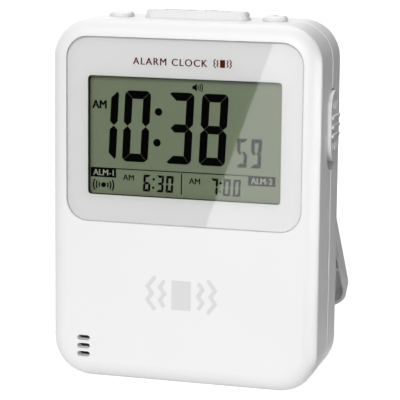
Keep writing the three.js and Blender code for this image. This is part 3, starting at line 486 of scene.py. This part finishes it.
TIME_SIZE, SECOND_SIZE, ALARM_SIZE = (7.65, 20.35), (3.05, 8.2), (2.15, 4.82)
time_bars = seven_bars("time_bars", TIME_SIZE, upright=2.25, level=2.35, gap=0.04, corner=1.6)
readout("time_figures", time_bars, [("1", -23.85), ("0", -14.37), ("3", -1.66), ("8", 8.22)],
        centre=73.42, height=TIME_SIZE[1], dots=[(-7.89, 77.84, 1.1), (-8.29, 69.05, 1.1)])
second_bars = seven_bars("second_bars", SECOND_SIZE, upright=0.98, level=1.15, gap=0.03,
                         corner=0.35, split=0.2)
readout("second_figures", second_bars, [("5", 16.5), ("9", 20.55)], centre=67.35,
        height=SECOND_SIZE[1])
alarm_bars = seven_bars("alarm_bars", ALARM_SIZE, upright=0.68, level=0.7, gap=0.035, corner=0.25)
readout("alarm_figures", alarm_bars,
        [("6", -11.22), ("3", -7.3), ("0", -4.48), ("7", 8.57), ("0", 12.25), ("0", 15.15)],
        centre=57.32, height=ALARM_SIZE[1],
        dots=[(-9.2, 58.52, 0.36), (-9.35, 56.1, 0.36), (10.42, 58.5, 0.36), (10.28, 56.08, 0.36)])


# Signs of the display: half-day letters, a sound sign, a signal sign, rules and two label boxes.
# They are etched in the same cell as the figures, and the letters in the boxes are left clear.
LAYER_STEP = 0.002


def lettering(name, words, centre, size, turn, thickness, weight=0.0, spacing=1.0):
    """Letters fitted to a size, made bolder by a weight, facing outwards at their place."""
    deselect()
    bpy.ops.object.text_add()
    text = bpy.context.object
    text.data.body = words
    text.data.resolution_u = 4
    text.data.space_character = spacing
    bpy.ops.object.convert(target="MESH")
    piece = bpy.context.object
    piece.name = name
    low = Vector(map(min, zip(*(v.co for v in piece.data.vertices))))
    high = Vector(map(max, zip(*(v.co for v in piece.data.vertices))))
    middle = (low + high) / 2
    wide, tall = (size[0] - weight) / (high.x - low.x), size[1] / (high.y - low.y)
    for vertex in piece.data.vertices:
        x, y, _ = vertex.co - middle
        vertex.co = Vector((x * wide - weight / 2, y * tall, 0))
    edit(piece)
    bpy.ops.mesh.select_all(action="SELECT")
    bpy.ops.mesh.remove_doubles(threshold=1e-4)
    done()
    piece.rotation_euler = turn
    piece.location = centre
    fix_place()
    ink(piece, thickness)
    if weight:
        copies = piece.modifiers.new("weight", "ARRAY")
        copies.count = 3
        copies.use_relative_offset = False
        copies.use_constant_offset = True
        step = Vector((weight / 2, 0, LAYER_STEP))
        copies.constant_offset_displace = Euler(turn).to_matrix() @ step
        apply_modifiers(piece)
    return piece


HALF_DAYS = ((-25.42, 79.28, (4.35, 2.35), 0.26), (-16.71, 58.65, (3.3, 1.62), 0.1),
             (2.82, 58.6, (3.3, 1.64), 0.1))
half_days = [lettering("half_day", "AM", (x, INK, z), size, FACING_FRONT, INK_THICKNESS, weight)
             for x, z, size, weight in HALF_DAYS]
settle(join("half_day_letters", half_days), "case", "lcd_glass", segment_ink)

marks = [flat("rule", (-28.0, 18.4), (60.85, 61.13), INK),
         flat("rule", (-1.15, -0.85), (54.6, 60.5), INK),
         flat("label_box", (-28.0, -20.4), (58.37, 61.1), INK),
         flat("label_box", (18.36, 26.16), (58.3, 61.08), INK)]


def arc(centre, radius, thickness, spread):
    """A thin arc to the right of a centre, cut from a ring by two lines through the centre."""
    spread = math.radians(spread)
    ring = dot(*centre, radius)
    edit(ring)
    bpy.ops.mesh.select_all(action="SELECT")
    bpy.ops.mesh.inset(thickness=thickness)
    bpy.ops.mesh.delete(type="FACE")
    for lean in (-1, 1):
        bpy.ops.mesh.select_all(action="SELECT")
        bpy.ops.mesh.bisect(plane_co=(centre[0], INK, centre[1]), clear_outer=True,
                            plane_no=(-math.sin(spread), 0, lean * math.cos(spread)),
                            threshold=CUT_WIDTH)
    done()
    return ring


HORN_X, HORN_Z = (1.96, 2.5), (84.72, 85.66)
HORN_LENGTH, HORN_FLARE = 0.75, 2.5
SOUND_CENTRE, SOUND_LINE = (1.6, 85.19), 0.28
horn = flat("sound_sign", HORN_X, HORN_Z, INK)
edit(horn)
choose(horn, "EDGE", lambda edge: all(v.co.x > HORN_X[1] - NEAR for v in edge.verts))
bpy.ops.mesh.extrude_region_move(TRANSFORM_OT_translate={"value": (HORN_LENGTH, 0, 0)})
bpy.ops.transform.resize(value=(1, 1, HORN_FLARE),
                         center_override=(HORN_X[1] + HORN_LENGTH, INK, SOUND_CENTRE[1]))
done()
marks.append(horn)
marks += [arc(SOUND_CENTRE, radius, SOUND_LINE, spread)
          for radius, spread in ((2.2, 17), (2.8, 20), (3.42, 21))]

SIGNAL, SIGNAL_DOT, SIGNAL_LINE = (-24.18, 56.14), 0.72, 0.42
marks.append(dot(*SIGNAL, SIGNAL_DOT))
for radius, spread in ((1.55, 30), (2.4, 30), (3.25, 31)):
    ring = arc(SIGNAL, radius, SIGNAL_LINE, spread)
    edit(ring)
    bpy.ops.mesh.select_all(action="SELECT")
    bpy.ops.mesh.duplicate()
    bpy.ops.transform.rotate(value=math.pi, orient_axis="Y",
                             center_override=(SIGNAL[0], INK, SIGNAL[1]))
    done()
    marks.append(ring)
signs = join("display_signs", marks)
ink(signs, INK_THICKNESS)
settle(signs, "case", "lcd_glass", segment_ink)

LABEL_SIZE, LABEL_WEIGHT, LABEL_LIFT = (6.2, 1.7), 0.12, 0.02
label_clear = print_or_painted_shade("display_label_clear", (0.30, 0.34, 0.25, 1), (0.33, 0.37, 0.28, 1),
                      roughness=0.4, grain=6000, gloss=0.2)
labels = [lettering("label", words, (x, INK - LABEL_LIFT, z), LABEL_SIZE, FACING_FRONT,
                    LABEL_LIFT, LABEL_WEIGHT)
          for words, x, z in (("ALM-1", -24.2, 59.72), ("ALM-2", 22.26, 59.68))]
settle(join("label_letters", labels), "case", "lcd_glass", label_clear)


# Mask: a thin film behind the window, printed pale grey, with the opening for the display cut out.
# Its words and sign are printed in dark red on the side that faces the window.
mask_grey = print_or_painted_shade("mask_film_print", grey(0.72), grey(0.74), roughness=0.5, grain=4200,
                    gloss=0.0)
dress(mask_grey, "display_mask")

print_red = print_or_painted_shade("dark_red_print", (0.092, 0.01, 0.001, 1), (0.11, 0.013, 0.001, 1),
                    roughness=0.5, grain=5200, gloss=0.0)
MASK_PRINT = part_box("display_mask")[0].y / MM - 0.02
MASK_PRINT_THICKNESS = 0.03
MASK_SIGN_SCALE = 0.255
mask_words = lettering("mask_words", "ALARM CLOCK", (-4.0, MASK_PRINT, 92.25), (21.7, 2.0),
                       FACING_FRONT, MASK_PRINT_THICKNESS, weight=0.12, spacing=1.2)
mask_sign = vibration_sign("mask_sign", 11.15, 92.35, MASK_SIGN_SCALE, MASK_PRINT)
ink(mask_sign, MASK_PRINT_THICKNESS)
settle(join("mask_print_words", [mask_words, mask_sign]), "case", "mask_print", print_red)


# Window: a clear acrylic pane with polished bevelled edges, set flush in the front shell.
# Moulded flat, with rounded corners, and held over the mask by a bead of adhesive at its border.
def blank(name, x, y, z):
    """A block between limits in millimetres, to be shaped further."""
    deselect()
    bpy.ops.mesh.primitive_cube_add(size=1, location=(sum(x) / 2, sum(y) / 2, sum(z) / 2))
    piece = bpy.context.object
    piece.name = name
    piece.scale = (x[1] - x[0], y[1] - y[0], z[1] - z[0])
    fix_place()
    return piece


def along(edge, direction):
    run = (edge.verts[0].co - edge.verts[1].co).normalized()
    return abs(run.dot(Vector(direction))) > 0.99


WINDOW_CORNER, WINDOW_BEVEL = 6.15, 0.2
window_low, window_high = (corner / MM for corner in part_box("display_window"))
WINDOW_FRONT = window_low.y
window = blank("window_pane", *zip(window_low, window_high))
edit(window)
choose(window, "EDGE", lambda edge: along(edge, (0, 1, 0)))
bpy.ops.mesh.bevel(offset=WINDOW_CORNER, segments=10)
choose(window, "EDGE",
       lambda edge: all(abs(v.co.y - WINDOW_FRONT) < NEAR for v in edge.verts))
bpy.ops.mesh.bevel(offset=WINDOW_BEVEL, segments=2)
done()
clear_face = Finish("window_polished_face", Base_Color=grey(1), Metallic=1.0, Roughness=0.03)
through = clear_face.add("ShaderNodeBsdfTransparent", None, {"Color": (0.98, 0.985, 0.98, 1)})
sheen = clear_face.add("ShaderNodeFresnel", None, {"IOR": 1.49})
mirror = Wire(clear_face, clear_face.shader.outputs[0])
pane = clear_face.add("ShaderNodeMixShader", None, {0: sheen, 1: through, 2: mirror})
clear_face.put(clear_face.nodes["Material Output"].inputs["Surface"], pane)
# painted shade: the bevel and the sides of the pane are half opaque grey, for the shade in the gap
# round it
edge_shade = Finish("window_edge_painted_shade", Base_Color=grey(0.4), Alpha=0.3)
edge_shade.feed(Roughness=0.3 + 0.2 * edge_shade.noise(1500, 2))
clear_back = Finish("window_clear_back", Base_Color=grey(0.9), Alpha=0.001)
clear_back.feed(Roughness=0.15 + 0.1 * clear_back.noise(300, 2))
settle(window, "case", "window_plastic", clear_face, edge_shade, clear_back)
for face in window.data.polygons:
    if face.normal.y > 0.99:
        face.material_index = 2
    elif face.normal.y > -0.99:
        face.material_index = 1
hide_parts("display_window")


# Keys: a snooze bar and two round buttons in the top edge, moulded in the same white plastic.
# Each has a smooth top, a matt side coloured a darker white as painted shade, and a stem that
# presses the plunger of a switch below it.
# The bar and the right button have marks printed in grey on their tops.
key_white = moulded("white_key_plastic", (0.87, 0.87, 0.868, 1), (0.85, 0.852, 0.852, 1),
                    roughness=0.4, grain=3000, relief=6e-6)
# painted shade: the sides and fronts of the keys get a darker copy of the key white
key_shade = moulded("white_key_painted_shade", (0.75, 0.75, 0.748, 1), (0.73, 0.732, 0.732, 1),
                   roughness=0.5, grain=2400, relief=9e-6)
for name in ("left_button", "snooze_bar", "right_button"):
    dress(key_white, name, angle=35)
    cap = frame["nodes"][name].data
    cap.materials.append(key_shade.material)
    for face in cap.polygons:
        face.material_index = int(abs(face.normal.z) < 0.3)

key_ink = print_or_painted_shade("grey_key_print", grey(0.10), grey(0.14), roughness=0.5, grain=5200, gloss=0.3)
FACING_UP = (0, 0, 0)
KEY_PRINT_LIFT, KEY_PRINT_THICKNESS = 0.02, 0.04
KEY_MIDDLE = sum(corner.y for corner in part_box("snooze_bar")) / 2 / MM + 0.2
BAR_PRINT, BUTTON_PRINT = (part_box(name)[1].z / MM + KEY_PRINT_LIFT
                           for name in ("snooze_bar", "right_button"))
bar_words = [lettering("bar_words", words, (x, KEY_MIDDLE, BAR_PRINT), (width, 1.8), FACING_UP,
                       KEY_PRINT_THICKNESS)
             for words, x, width in (("SNOOZE", -5.1, 9.6), ("LIGHT", 5.8, 7.2))]
settle(join("bar_words", bar_words), "snooze_key", "white_plastic", key_ink)
button_mark = lettering("button_mark", "+", (22.6, KEY_MIDDLE, BUTTON_PRINT), (2, 2), FACING_UP,
                        KEY_PRINT_THICKNESS)
settle(button_mark, "right_key", "white_plastic", key_ink)


# Side slider: a white stadium-shaped knob with three grip ridges, in a slot at the parting line.
# ON and OFF stand up a little from its face, moulded in one, and its flange is coloured near black
# as painted shade in the slot.
dress(key_white, "side_slider", angle=35)
# painted shade: the front of the flange, seen through the slot, is coloured near black as if in
# shadow
FLANGE_SHADE_OUTSIDE = 38.9
flange_shade = print_or_painted_shade("flange_painted_shade", grey(0.012), grey(0.03), roughness=0.85, grain=9000, gloss=0.1,
               detail=2)
slider = frame["nodes"]["side_slider"].data
slider.materials.append(flange_shade.material)
for face in slider.polygons:
    face.material_index = int(face.normal.x > 0.5 and face.center.x < FLANGE_SHADE_OUTSIDE * MM)
FACING_RIGHT = (math.pi / 2, 0, math.pi / 2)
SLIDER_FACE, SLIDER_MIDDLE = 40.0, 2.95
LETTER_RISE, LETTER_DEPTH = 0.1, 0.24
slider_words = [lettering("slider_words", words, (SLIDER_FACE + LETTER_RISE, SLIDER_MIDDLE, z),
                          size, FACING_RIGHT, LETTER_DEPTH)
                for words, z, size in (("ON", 80.15, (5.4, 2.6)), ("OFF", 68.75, (7.0, 2.6)))]
settle(join("slider_letters", slider_words), "side_switch", "white_plastic", key_white)


# Stand: a broad tray with ribs, moulded in the same white plastic as the shells.
# It swings on two pins between the lugs of the back shell and folds flat into a recess there.
dress(case_white, "stand")


# Battery door: a flat cover over the cells, moulded in the same white plastic.
# It swings on two hooks along its lower edge, and a raised arrow outside points to its upper edge.
dress(case_white, "battery_door")
ARROW_X, ARROW_Z, ARROW_THICKNESS = (-2.2, 2.2), (81.0, 83.2), 0.35
ARROW_POINT = 0.02
DOOR_FACE = 13.9
arrow = flat("door_arrow", ARROW_X, ARROW_Z, 0)
edit(arrow)
choose(arrow, "EDGE", lambda edge: all(v.co.z > ARROW_Z[1] - NEAR for v in edge.verts))
bpy.ops.transform.resize(value=(ARROW_POINT, 1, 1), center_override=(0, 0, ARROW_Z[1]))
bpy.ops.mesh.select_all(action="SELECT")
bpy.ops.transform.rotate(value=math.pi, orient_axis="Z", center_override=(0, 0, 0))
bpy.ops.transform.translate(value=(0, DOOR_FACE, 0))
done()
ink(arrow, ARROW_THICKNESS)
settle(arrow, "battery_cover", "white_plastic", case_white)


# Cells: two AAA cells side by side, the other way round to each other, in printed shrink sleeves.
# A steel can with a crimped nub at one end; the sleeve rolls over the edge at both ends.
def ringed(name, rings, axis_at, direction):
    """A round piece along X: circles of the given radius, each drawn out from the one before."""
    (start, radius), *rest = rings
    deselect()
    bpy.ops.mesh.primitive_circle_add(vertices=40, radius=radius, fill_type="NGON",
                                      rotation=(0, math.pi / 2, 0), location=(start, 0, 0))
    piece = bpy.context.object
    piece.name = name
    fix_place()
    edit(piece)
    bpy.ops.mesh.select_mode(type="FACE")
    bpy.ops.mesh.select_all(action="SELECT")
    for position, size in rest:
        reach, grown = position - start, size / radius
        bpy.ops.mesh.extrude_region_move(TRANSFORM_OT_translate={"value": (reach, 0, 0)})
        bpy.ops.transform.resize(value=(1, grown, grown), center_override=(position, 0, 0))
        start, radius = position, size
    bpy.ops.mesh.select_all(action="SELECT")
    bpy.ops.mesh.normals_make_consistent(inside=False)
    done()
    if direction < 0:
        piece.rotation_euler = (0, 0, math.pi)
    piece.location = axis_at
    fix_place()
    return piece


BAND_FROM = 0.0088
SLEEVE_EDGE = 0.0046
CELL = [(-22.25, 3.4), (-22.05, 4.4), (-22.05, 4.75), (-21.85, 5.1), (-21.5, 5.25), (20.6, 5.25),
        (21.0, 5.1), (21.2, 4.7), (21.2, 4.2), (21.0, 3.9), (21.0, 2.2), (21.3, 1.9),
        (22.05, 1.9), (22.25, 1.6)]
sleeve = Finish("cell_sleeve", Coat_Weight=0.4, Coat_Roughness=0.15)
foil = sleeve.noise(900, 2, (0.05, 1, 1))
length = sleeve.axis("X")
band = (length > BAND_FROM) + (length * -1 > BAND_FROM)
sleeve.feed(Base_Color=sleeve.blend(band, (0.035, 0.04, 0.045, 1), (0.48, 0.36, 0.16, 1)),
            Metallic=0.35 * band, Roughness=0.28 + 0.12 * foil)
bare_steel = Finish("nickel_plated_steel", Metallic=1.0)
brushed = bare_steel.noise(700, 3, (1, 1, 6))
bare_steel.feed(
    Base_Color=bare_steel.blend(brushed, (0.50, 0.49, 0.47, 1), (0.62, 0.61, 0.59, 1)),
    Roughness=0.24 + 0.2 * brushed)
for name, facing in (("battery_upper", 1), ("battery_lower", -1)):
    low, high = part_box(name)
    cell = ringed(name.replace("battery", "cell"), CELL, (low + high) / 2 / MM, facing)
    settle(cell, "case", "cell_sleeve", sleeve, bare_steel)
    for face in cell.data.polygons:
        reach = face.center - (low + high) / 2
        face.material_index = int(math.hypot(reach.y, reach.z) < SLEEVE_EDGE)
        face.use_smooth = abs(face.normal.x) < 0.9
    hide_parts(name)


# Screws: self-tapping steel screws with round heads and a cross recess, rolled from wire.
# Four from the back hold the shells, four hold the board and two hold the motor's strap.
HEAD_RADIUS, HEAD_HEIGHT, HEAD_ROUNDING = 2.2, 1.6, 0.6
SHANK_RADIUS, POINT_LENGTH, POINT_TAPER = 1.1, 1.5, 0.3
RECESS_LENGTH, RECESS_WIDTH, RECESS_DEPTH = 2.5, 0.55, 0.9


def case_screw(name, low, high):
    x, z = (low.x + high.x) / 2 / MM, (low.z + high.z) / 2 / MM
    back, tip = high.y / MM, low.y / MM
    deselect()
    bpy.ops.mesh.primitive_cylinder_add(vertices=32, radius=HEAD_RADIUS, depth=HEAD_HEIGHT,
                                        rotation=FACING_FRONT,
                                        location=(x, back - HEAD_HEIGHT / 2, z))
    piece = bpy.context.object
    piece.name = name
    fix_place()
    edit(piece)
    choose(piece, "FACE", lambda face: face.normal.y < -0.9)
    bpy.ops.mesh.inset(thickness=HEAD_RADIUS - SHANK_RADIUS)
    for reach in (tip + POINT_LENGTH - back + HEAD_HEIGHT, -POINT_LENGTH):
        bpy.ops.mesh.extrude_region_move(TRANSFORM_OT_translate={"value": (0, reach, 0)})
    bpy.ops.transform.resize(value=(POINT_TAPER, 1, POINT_TAPER), center_override=(x, tip, z))
    choose(piece, "EDGE", lambda edge: all(v.co.y > back - NEAR for v in edge.verts))
    bpy.ops.mesh.bevel(offset=HEAD_ROUNDING, segments=3)
    done()
    for wide, tall in ((RECESS_LENGTH, RECESS_WIDTH), (RECESS_WIDTH, RECESS_LENGTH)):
        cutter = blank("cutter", (x - wide / 2, x + wide / 2), (back - RECESS_DEPTH, back + 1),
                       (z - tall / 2, z + tall / 2))
        recess = piece.modifiers.new("recess", "BOOLEAN")
        recess.object = cutter
        recess.operation = "DIFFERENCE"
        apply_modifiers(piece)
        bpy.data.objects.remove(cutter)
    settle(piece, "case", "steel", bare_steel)
    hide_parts(name.replace("shell", "case"))


QUARTERS = [f"{level}_{side}" for level in ("upper", "lower") for side in ("left", "right")]
for quarter in QUARTERS:
    case_screw(f"shell_screw_{quarter}", *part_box(f"case_screw_{quarter}"))
dress(bare_steel, "strap_screw_upper", "strap_screw_lower",
      *(f"board_screw_{quarter}" for quarter in QUARTERS), angle=35)


# Cell contacts: two springs, two terminals and a bridge in the compartment for the cells.
# They are wound or stamped from nickel plated steel and sit at the ends of the compartment.
dress(bare_steel, "battery_spring_upper", "battery_spring_lower", "battery_bridge",
      "battery_terminal_upper", "battery_terminal_lower", angle=35)


# Board: a sheet of green glass-fibre laminate with a clear coat, held by four screws.
# A drop of black resin covers the controller, and the crystal is in a drawn steel can.
laminate = Finish("board_laminate", Coat_Weight=0.3, Coat_Roughness=0.2)
level_cloth = laminate.add("ShaderNodeMapping", None,
                           {"Vector": laminate.place(), "Rotation": (math.pi / 2, 0, 0)})
weave = laminate.add("ShaderNodeTexBrick", {"offset": 0.5},
                     {"Vector": level_cloth, "Scale": 420, "Mortar Size": 0.06}, 1)
laminate.feed(Base_Color=laminate.blend(weave, (0.012, 0.075, 0.03, 1), (0.03, 0.13, 0.055, 1)),
              Roughness=0.3 + 0.15 * weave, Normal=laminate.bump(weave, 2e-5))
dress(laminate, "main_board")

black_resin = moulded("black_resin", (0.02, 0.02, 0.021, 1), (0.012, 0.012, 0.013, 1),
                      roughness=0.45, grain=1500, relief=8e-6)
dress(black_resin, "controller_blob")
dress(bare_steel, "crystal_can", angle=35)


# Switches: a push switch under each key and a slide switch behind the slider, on the board.
# Their bodies and the lever are black plastic, the plungers tan, and the slide's housing steel.
dress(black_resin, "left_switch", "snooze_switch", "right_switch", "slide_switch_lever")
dress(bare_steel, "slide_switch_housing", angle=35)
plunger_tan = moulded("plunger_plastic", (0.55, 0.42, 0.25, 1), (0.5, 0.38, 0.22, 1),
                      roughness=0.4, grain=2400, relief=5e-6)
dress(plunger_tan, "left_plunger", "snooze_plunger", "right_plunger")


# Display's holder and light: a white moulded frame keeps the glass in place on the board.
# A clear acrylic guide behind the glass takes in light from a small lamp cast in resin.
holder_white = moulded("holder_plastic", (0.78, 0.78, 0.76, 1), (0.74, 0.74, 0.72, 1),
                       roughness=0.5, grain=2000, relief=8e-6)
dress(holder_white, "lcd_holder")
guide_clear = moulded("light_guide_acrylic", (0.82, 0.84, 0.82, 1), (0.78, 0.8, 0.78, 1),
                      roughness=0.2, grain=2000, relief=3e-6)
dress(guide_clear, "light_guide")
led_resin = moulded("lamp_resin", (0.85, 0.8, 0.45, 1), (0.8, 0.75, 0.4, 1),
                    roughness=0.25, grain=2400, relief=2e-6)
dress(led_resin, "backlight_led")


# Contact strip: rubber in thin layers, every other one filled with carbon so that it conducts.
# It is pressed between the edge of the display's glass and the pads of the board.
strip_rubber = Finish("contact_strip_rubber")
stripes = strip_rubber.add("ShaderNodeTexWave", {"wave_type": "BANDS", "bands_direction": "X"},
                           {"Vector": strip_rubber.place(), "Scale": 900, "Distortion": 0}, 1)
strip_rubber.feed(
    Base_Color=strip_rubber.blend(stripes, (0.02, 0.02, 0.02, 1), (0.5, 0.2, 0.22, 1)),
    Roughness=0.6 + SHEEN_SPREAD * stripes)
dress(strip_rubber, "zebra_strip")


# Vibration motor: a small motor in a steel can, held down by a steel strap and two screws.
# The brass weight is turned, and pressed on the shaft off its centre, so that it shakes the case.
dress(bare_steel, "vibration_motor", "motor_shaft", "motor_strap", angle=35)
brass = Finish("weight_brass", Metallic=1.0)
turning = brass.noise(1200, 2, (0.05, 1, 1))
brass.feed(Base_Color=brass.blend(turning, (0.55, 0.40, 0.17, 1), (0.66, 0.5, 0.24, 1)),
           Roughness=0.25 + 0.2 * turning)
dress(brass, "eccentric_weight")


# Buzzer and leads: a black plastic case behind the sound slots, and two short leads to the board.
# The leads are stranded wire in red insulation, one from the buzzer and one from the motor.
dress(black_resin, "buzzer")
lead_rubber = moulded("lead_insulation", (0.35, 0.02, 0.02, 1), (0.28, 0.015, 0.015, 1),
                      roughness=0.5, grain=2600, relief=5e-6)
dress(lead_rubber, "motor_lead", "buzzer_lead")


# Studio: a pale floor that keeps the clock's shadow, a white surround and three soft lamps.
# Cards round the clock, out of the camera's sight, shade it or show in its glossy surfaces.
def seen_or_mirrored(owner):
    """1 for what the camera sees, straight, in a mirror or through glass, and 0 for other light."""
    seen, glossy, through = (owner.add("ShaderNodeLightPath", output=f"Is {kind} Ray")
                             for kind in ("Camera", "Glossy", "Transmission"))
    either = owner.add("ShaderNodeMath", {"operation": "MAXIMUM"}, {0: seen, 1: glossy})
    return owner.add("ShaderNodeMath", {"operation": "MAXIMUM"}, {0: either, 1: through})


AMBIENT = 0.04
scene.world = bpy.data.worlds.new("studio")
scene.world.use_nodes = True
surround = Nodes(scene.world.node_tree)
dim, white = (surround.add("ShaderNodeBackground", None, {"Color": grey(1), "Strength": strength})
              for strength in (AMBIENT, 1.0))
either = surround.add("ShaderNodeMixShader", None,
                      {0: seen_or_mirrored(surround), 1: dim, 2: white})
surround.put(surround.nodes["World Output"].inputs["Surface"], either)

FLOOR_SIZE, FLOOR_DROP = 6, 0.0001
deselect()
bpy.ops.mesh.primitive_plane_add(size=FLOOR_SIZE, location=(0, 0, -FLOOR_DROP))
floor = bpy.context.object
floor.name = "studio_floor"
floor_paint = Finish("floor_paint", Base_Color=grey(0.35), Roughness=0.9, Specular_IOR_Level=0.0,
                     Emission_Strength=0.95)
floor_paint.feed(Emission_Color=seen_or_mirrored(floor_paint))
floor.data.materials.append(floor_paint.material)


def card(name, corners, brightness, matt=False, fade=None):
    """A card near the clock that shows only as a reflection, in glossy or else in matt surfaces."""
    deselect()
    bpy.ops.mesh.primitive_plane_add(size=1)
    piece = bpy.context.object
    piece.name = name
    for vertex, corner in zip(piece.data.vertices, corners):
        vertex.co = corner
    paint = Finish(name + "_paint", Base_Color=grey(0), Roughness=1, Specular_IOR_Level=0.0,
                   Emission_Color=grey(1), Emission_Strength=brightness)
    if fade:
        rise = paint.add("ShaderNodeMapRange", {"interpolation_type": "SMOOTHSTEP"},
                         {0: paint.axis("Y"), 1: fade[0], 2: fade[1]})
        paint.feed(Emission_Color=paint.blend(rise, grey(0), grey(1)))
    piece.data.materials.append(paint.material)
    piece.visible_camera = piece.visible_shadow = False
    piece.visible_diffuse, piece.visible_glossy = matt, not matt


# the edge between these two cards falls on the window along the line where the glare starts
CAMERA_AT = Vector((0.1382, -0.4908, 0.14463))
CARD_AWAY, CARD_TOP = 0.2, 0.2
DARK_WIDTH, GLARE_WIDTH, GLARE = 0.3, 0.09, 3.7
GLARE_HIGH, GLARE_LOW = Vector((0.02582, 0, 0.09898)), Vector((0.00681, 0, 0.04602))


def mirrored(point):
    """Where the card plane is hit by the camera's ray mirrored at a point of the window."""
    at = Vector((point.x, WINDOW_FRONT * MM, point.z))
    ray = at - CAMERA_AT
    return at + Vector((ray.x, -ray.y, ray.z)) * (CARD_AWAY / ray.y)


edge_high, edge_low = mirrored(GLARE_HIGH), mirrored(GLARE_LOW)
edge_lean = (edge_high.x - edge_low.x) / (edge_high.z - edge_low.z)
edge_foot = edge_low.x - edge_lean * edge_low.z
edge_head = edge_high.x + edge_lean * (CARD_TOP - edge_high.z)


def beside_edge(start, end):
    return [(edge + across, edge_high.y, height)
            for edge, height in ((edge_foot, 0), (edge_head, CARD_TOP)) for across in (start, end)]


card("dark_card", beside_edge(-DARK_WIDTH, 0), brightness=0)
card("glare_card", beside_edge(0, GLARE_WIDTH), brightness=GLARE)


def between(x, y, z):
    """The corners of a card between limits, with a single value where it stands or lies."""
    return [(across, deep, high) for high in z for deep in y for across in x]


STRIP_HEIGHT, CARD_HEIGHT = 8e-4, 5e-4
STRIP_FADE = (-0.3, 0.02)
card("strip_card", between([0.2], (-0.3, 0.05), (0, 0.12)), brightness=10.6, fade=STRIP_FADE)
card("strip_floor", between((0.06, 0.2), (-0.3, 0.02), [STRIP_HEIGHT]), brightness=5.4,
     fade=STRIP_FADE)
card("bounce_card", between((-0.25, 0.05), (-0.3, -0.0105), [CARD_HEIGHT]), brightness=0.62,
     matt=True)
card("back_flag", between((0.03, 0.7), [0.25], (0, 0.4)), brightness=0)
card("side_flag", between((0.045, 0.7), (-0.1, 0.25), [CARD_HEIGHT]), brightness=0.05)
card("side_bounce", between((0.041, 0.065), (0, 0.045), [CARD_HEIGHT]), brightness=0.8, matt=True)
card("stand_flag", between((-0.04, 0.038), (0.0138, 0.06), [CARD_HEIGHT]), brightness=0, matt=True)
card("back_shade", between((-0.0345, 0.0345), [0.012], (0.0045, 0.0478)), brightness=0, matt=True)


def lamp(name, at, size, watts):
    """A soft lamp that points at the middle of the clock."""
    light = bpy.data.lights.new(name, "AREA")
    light.shape = "RECTANGLE"
    light.size, light.size_y = size
    light.energy = watts
    holder = bpy.data.objects.new(name, light)
    scene.collection.objects.link(holder)
    holder.location = at
    holder.rotation_euler = (MIDDLE - Vector(at)).to_track_quat("-Z", "Y").to_euler()


MIDDLE = Vector((0, 0, 0.055))
lamp("front_softbox", (-0.06, -1.5, 0.8), size=(1.2, 0.9), watts=23.8)
lamp("top_softbox", (0.08, 0.36, 1.15), size=(1.0, 1.0), watts=7.5)
lamp("back_softbox", (-1.0, 1.1, 0.45), size=(0.8, 0.6), watts=9)


# Camera: a long lens a little above the clock and to its right, as the photograph was taken.
# It is turned by its yaw, pitch and roll, and shifted to the photograph's frame.
YAW, PITCH, ROLL = 0.271965, 0.154452, 0.009625
level_right = Vector((math.cos(YAW), math.sin(YAW), 0))
level_ahead = Vector((-math.sin(YAW), math.cos(YAW), 0))
upright = Vector((0, 0, 1))
ahead = level_ahead * math.cos(PITCH) - upright * math.sin(PITCH)
above = upright * math.cos(PITCH) + level_ahead * math.sin(PITCH)
right = level_right * math.cos(ROLL) + above * math.sin(ROLL)
above = above * math.cos(ROLL) - level_right * math.sin(ROLL)
lens = bpy.data.cameras.new("camera")
lens.sensor_fit = "HORIZONTAL"
lens.sensor_width = 36
lens.lens = 161.77
lens.shift_y = -0.12
lens.clip_start = 0.01
camera = bpy.data.objects.new("camera", lens)
scene.collection.objects.link(camera)
camera.matrix_world = Matrix((right, above, -ahead)).transposed().to_4x4()
camera.location = CAMERA_AT
scene.camera = camera
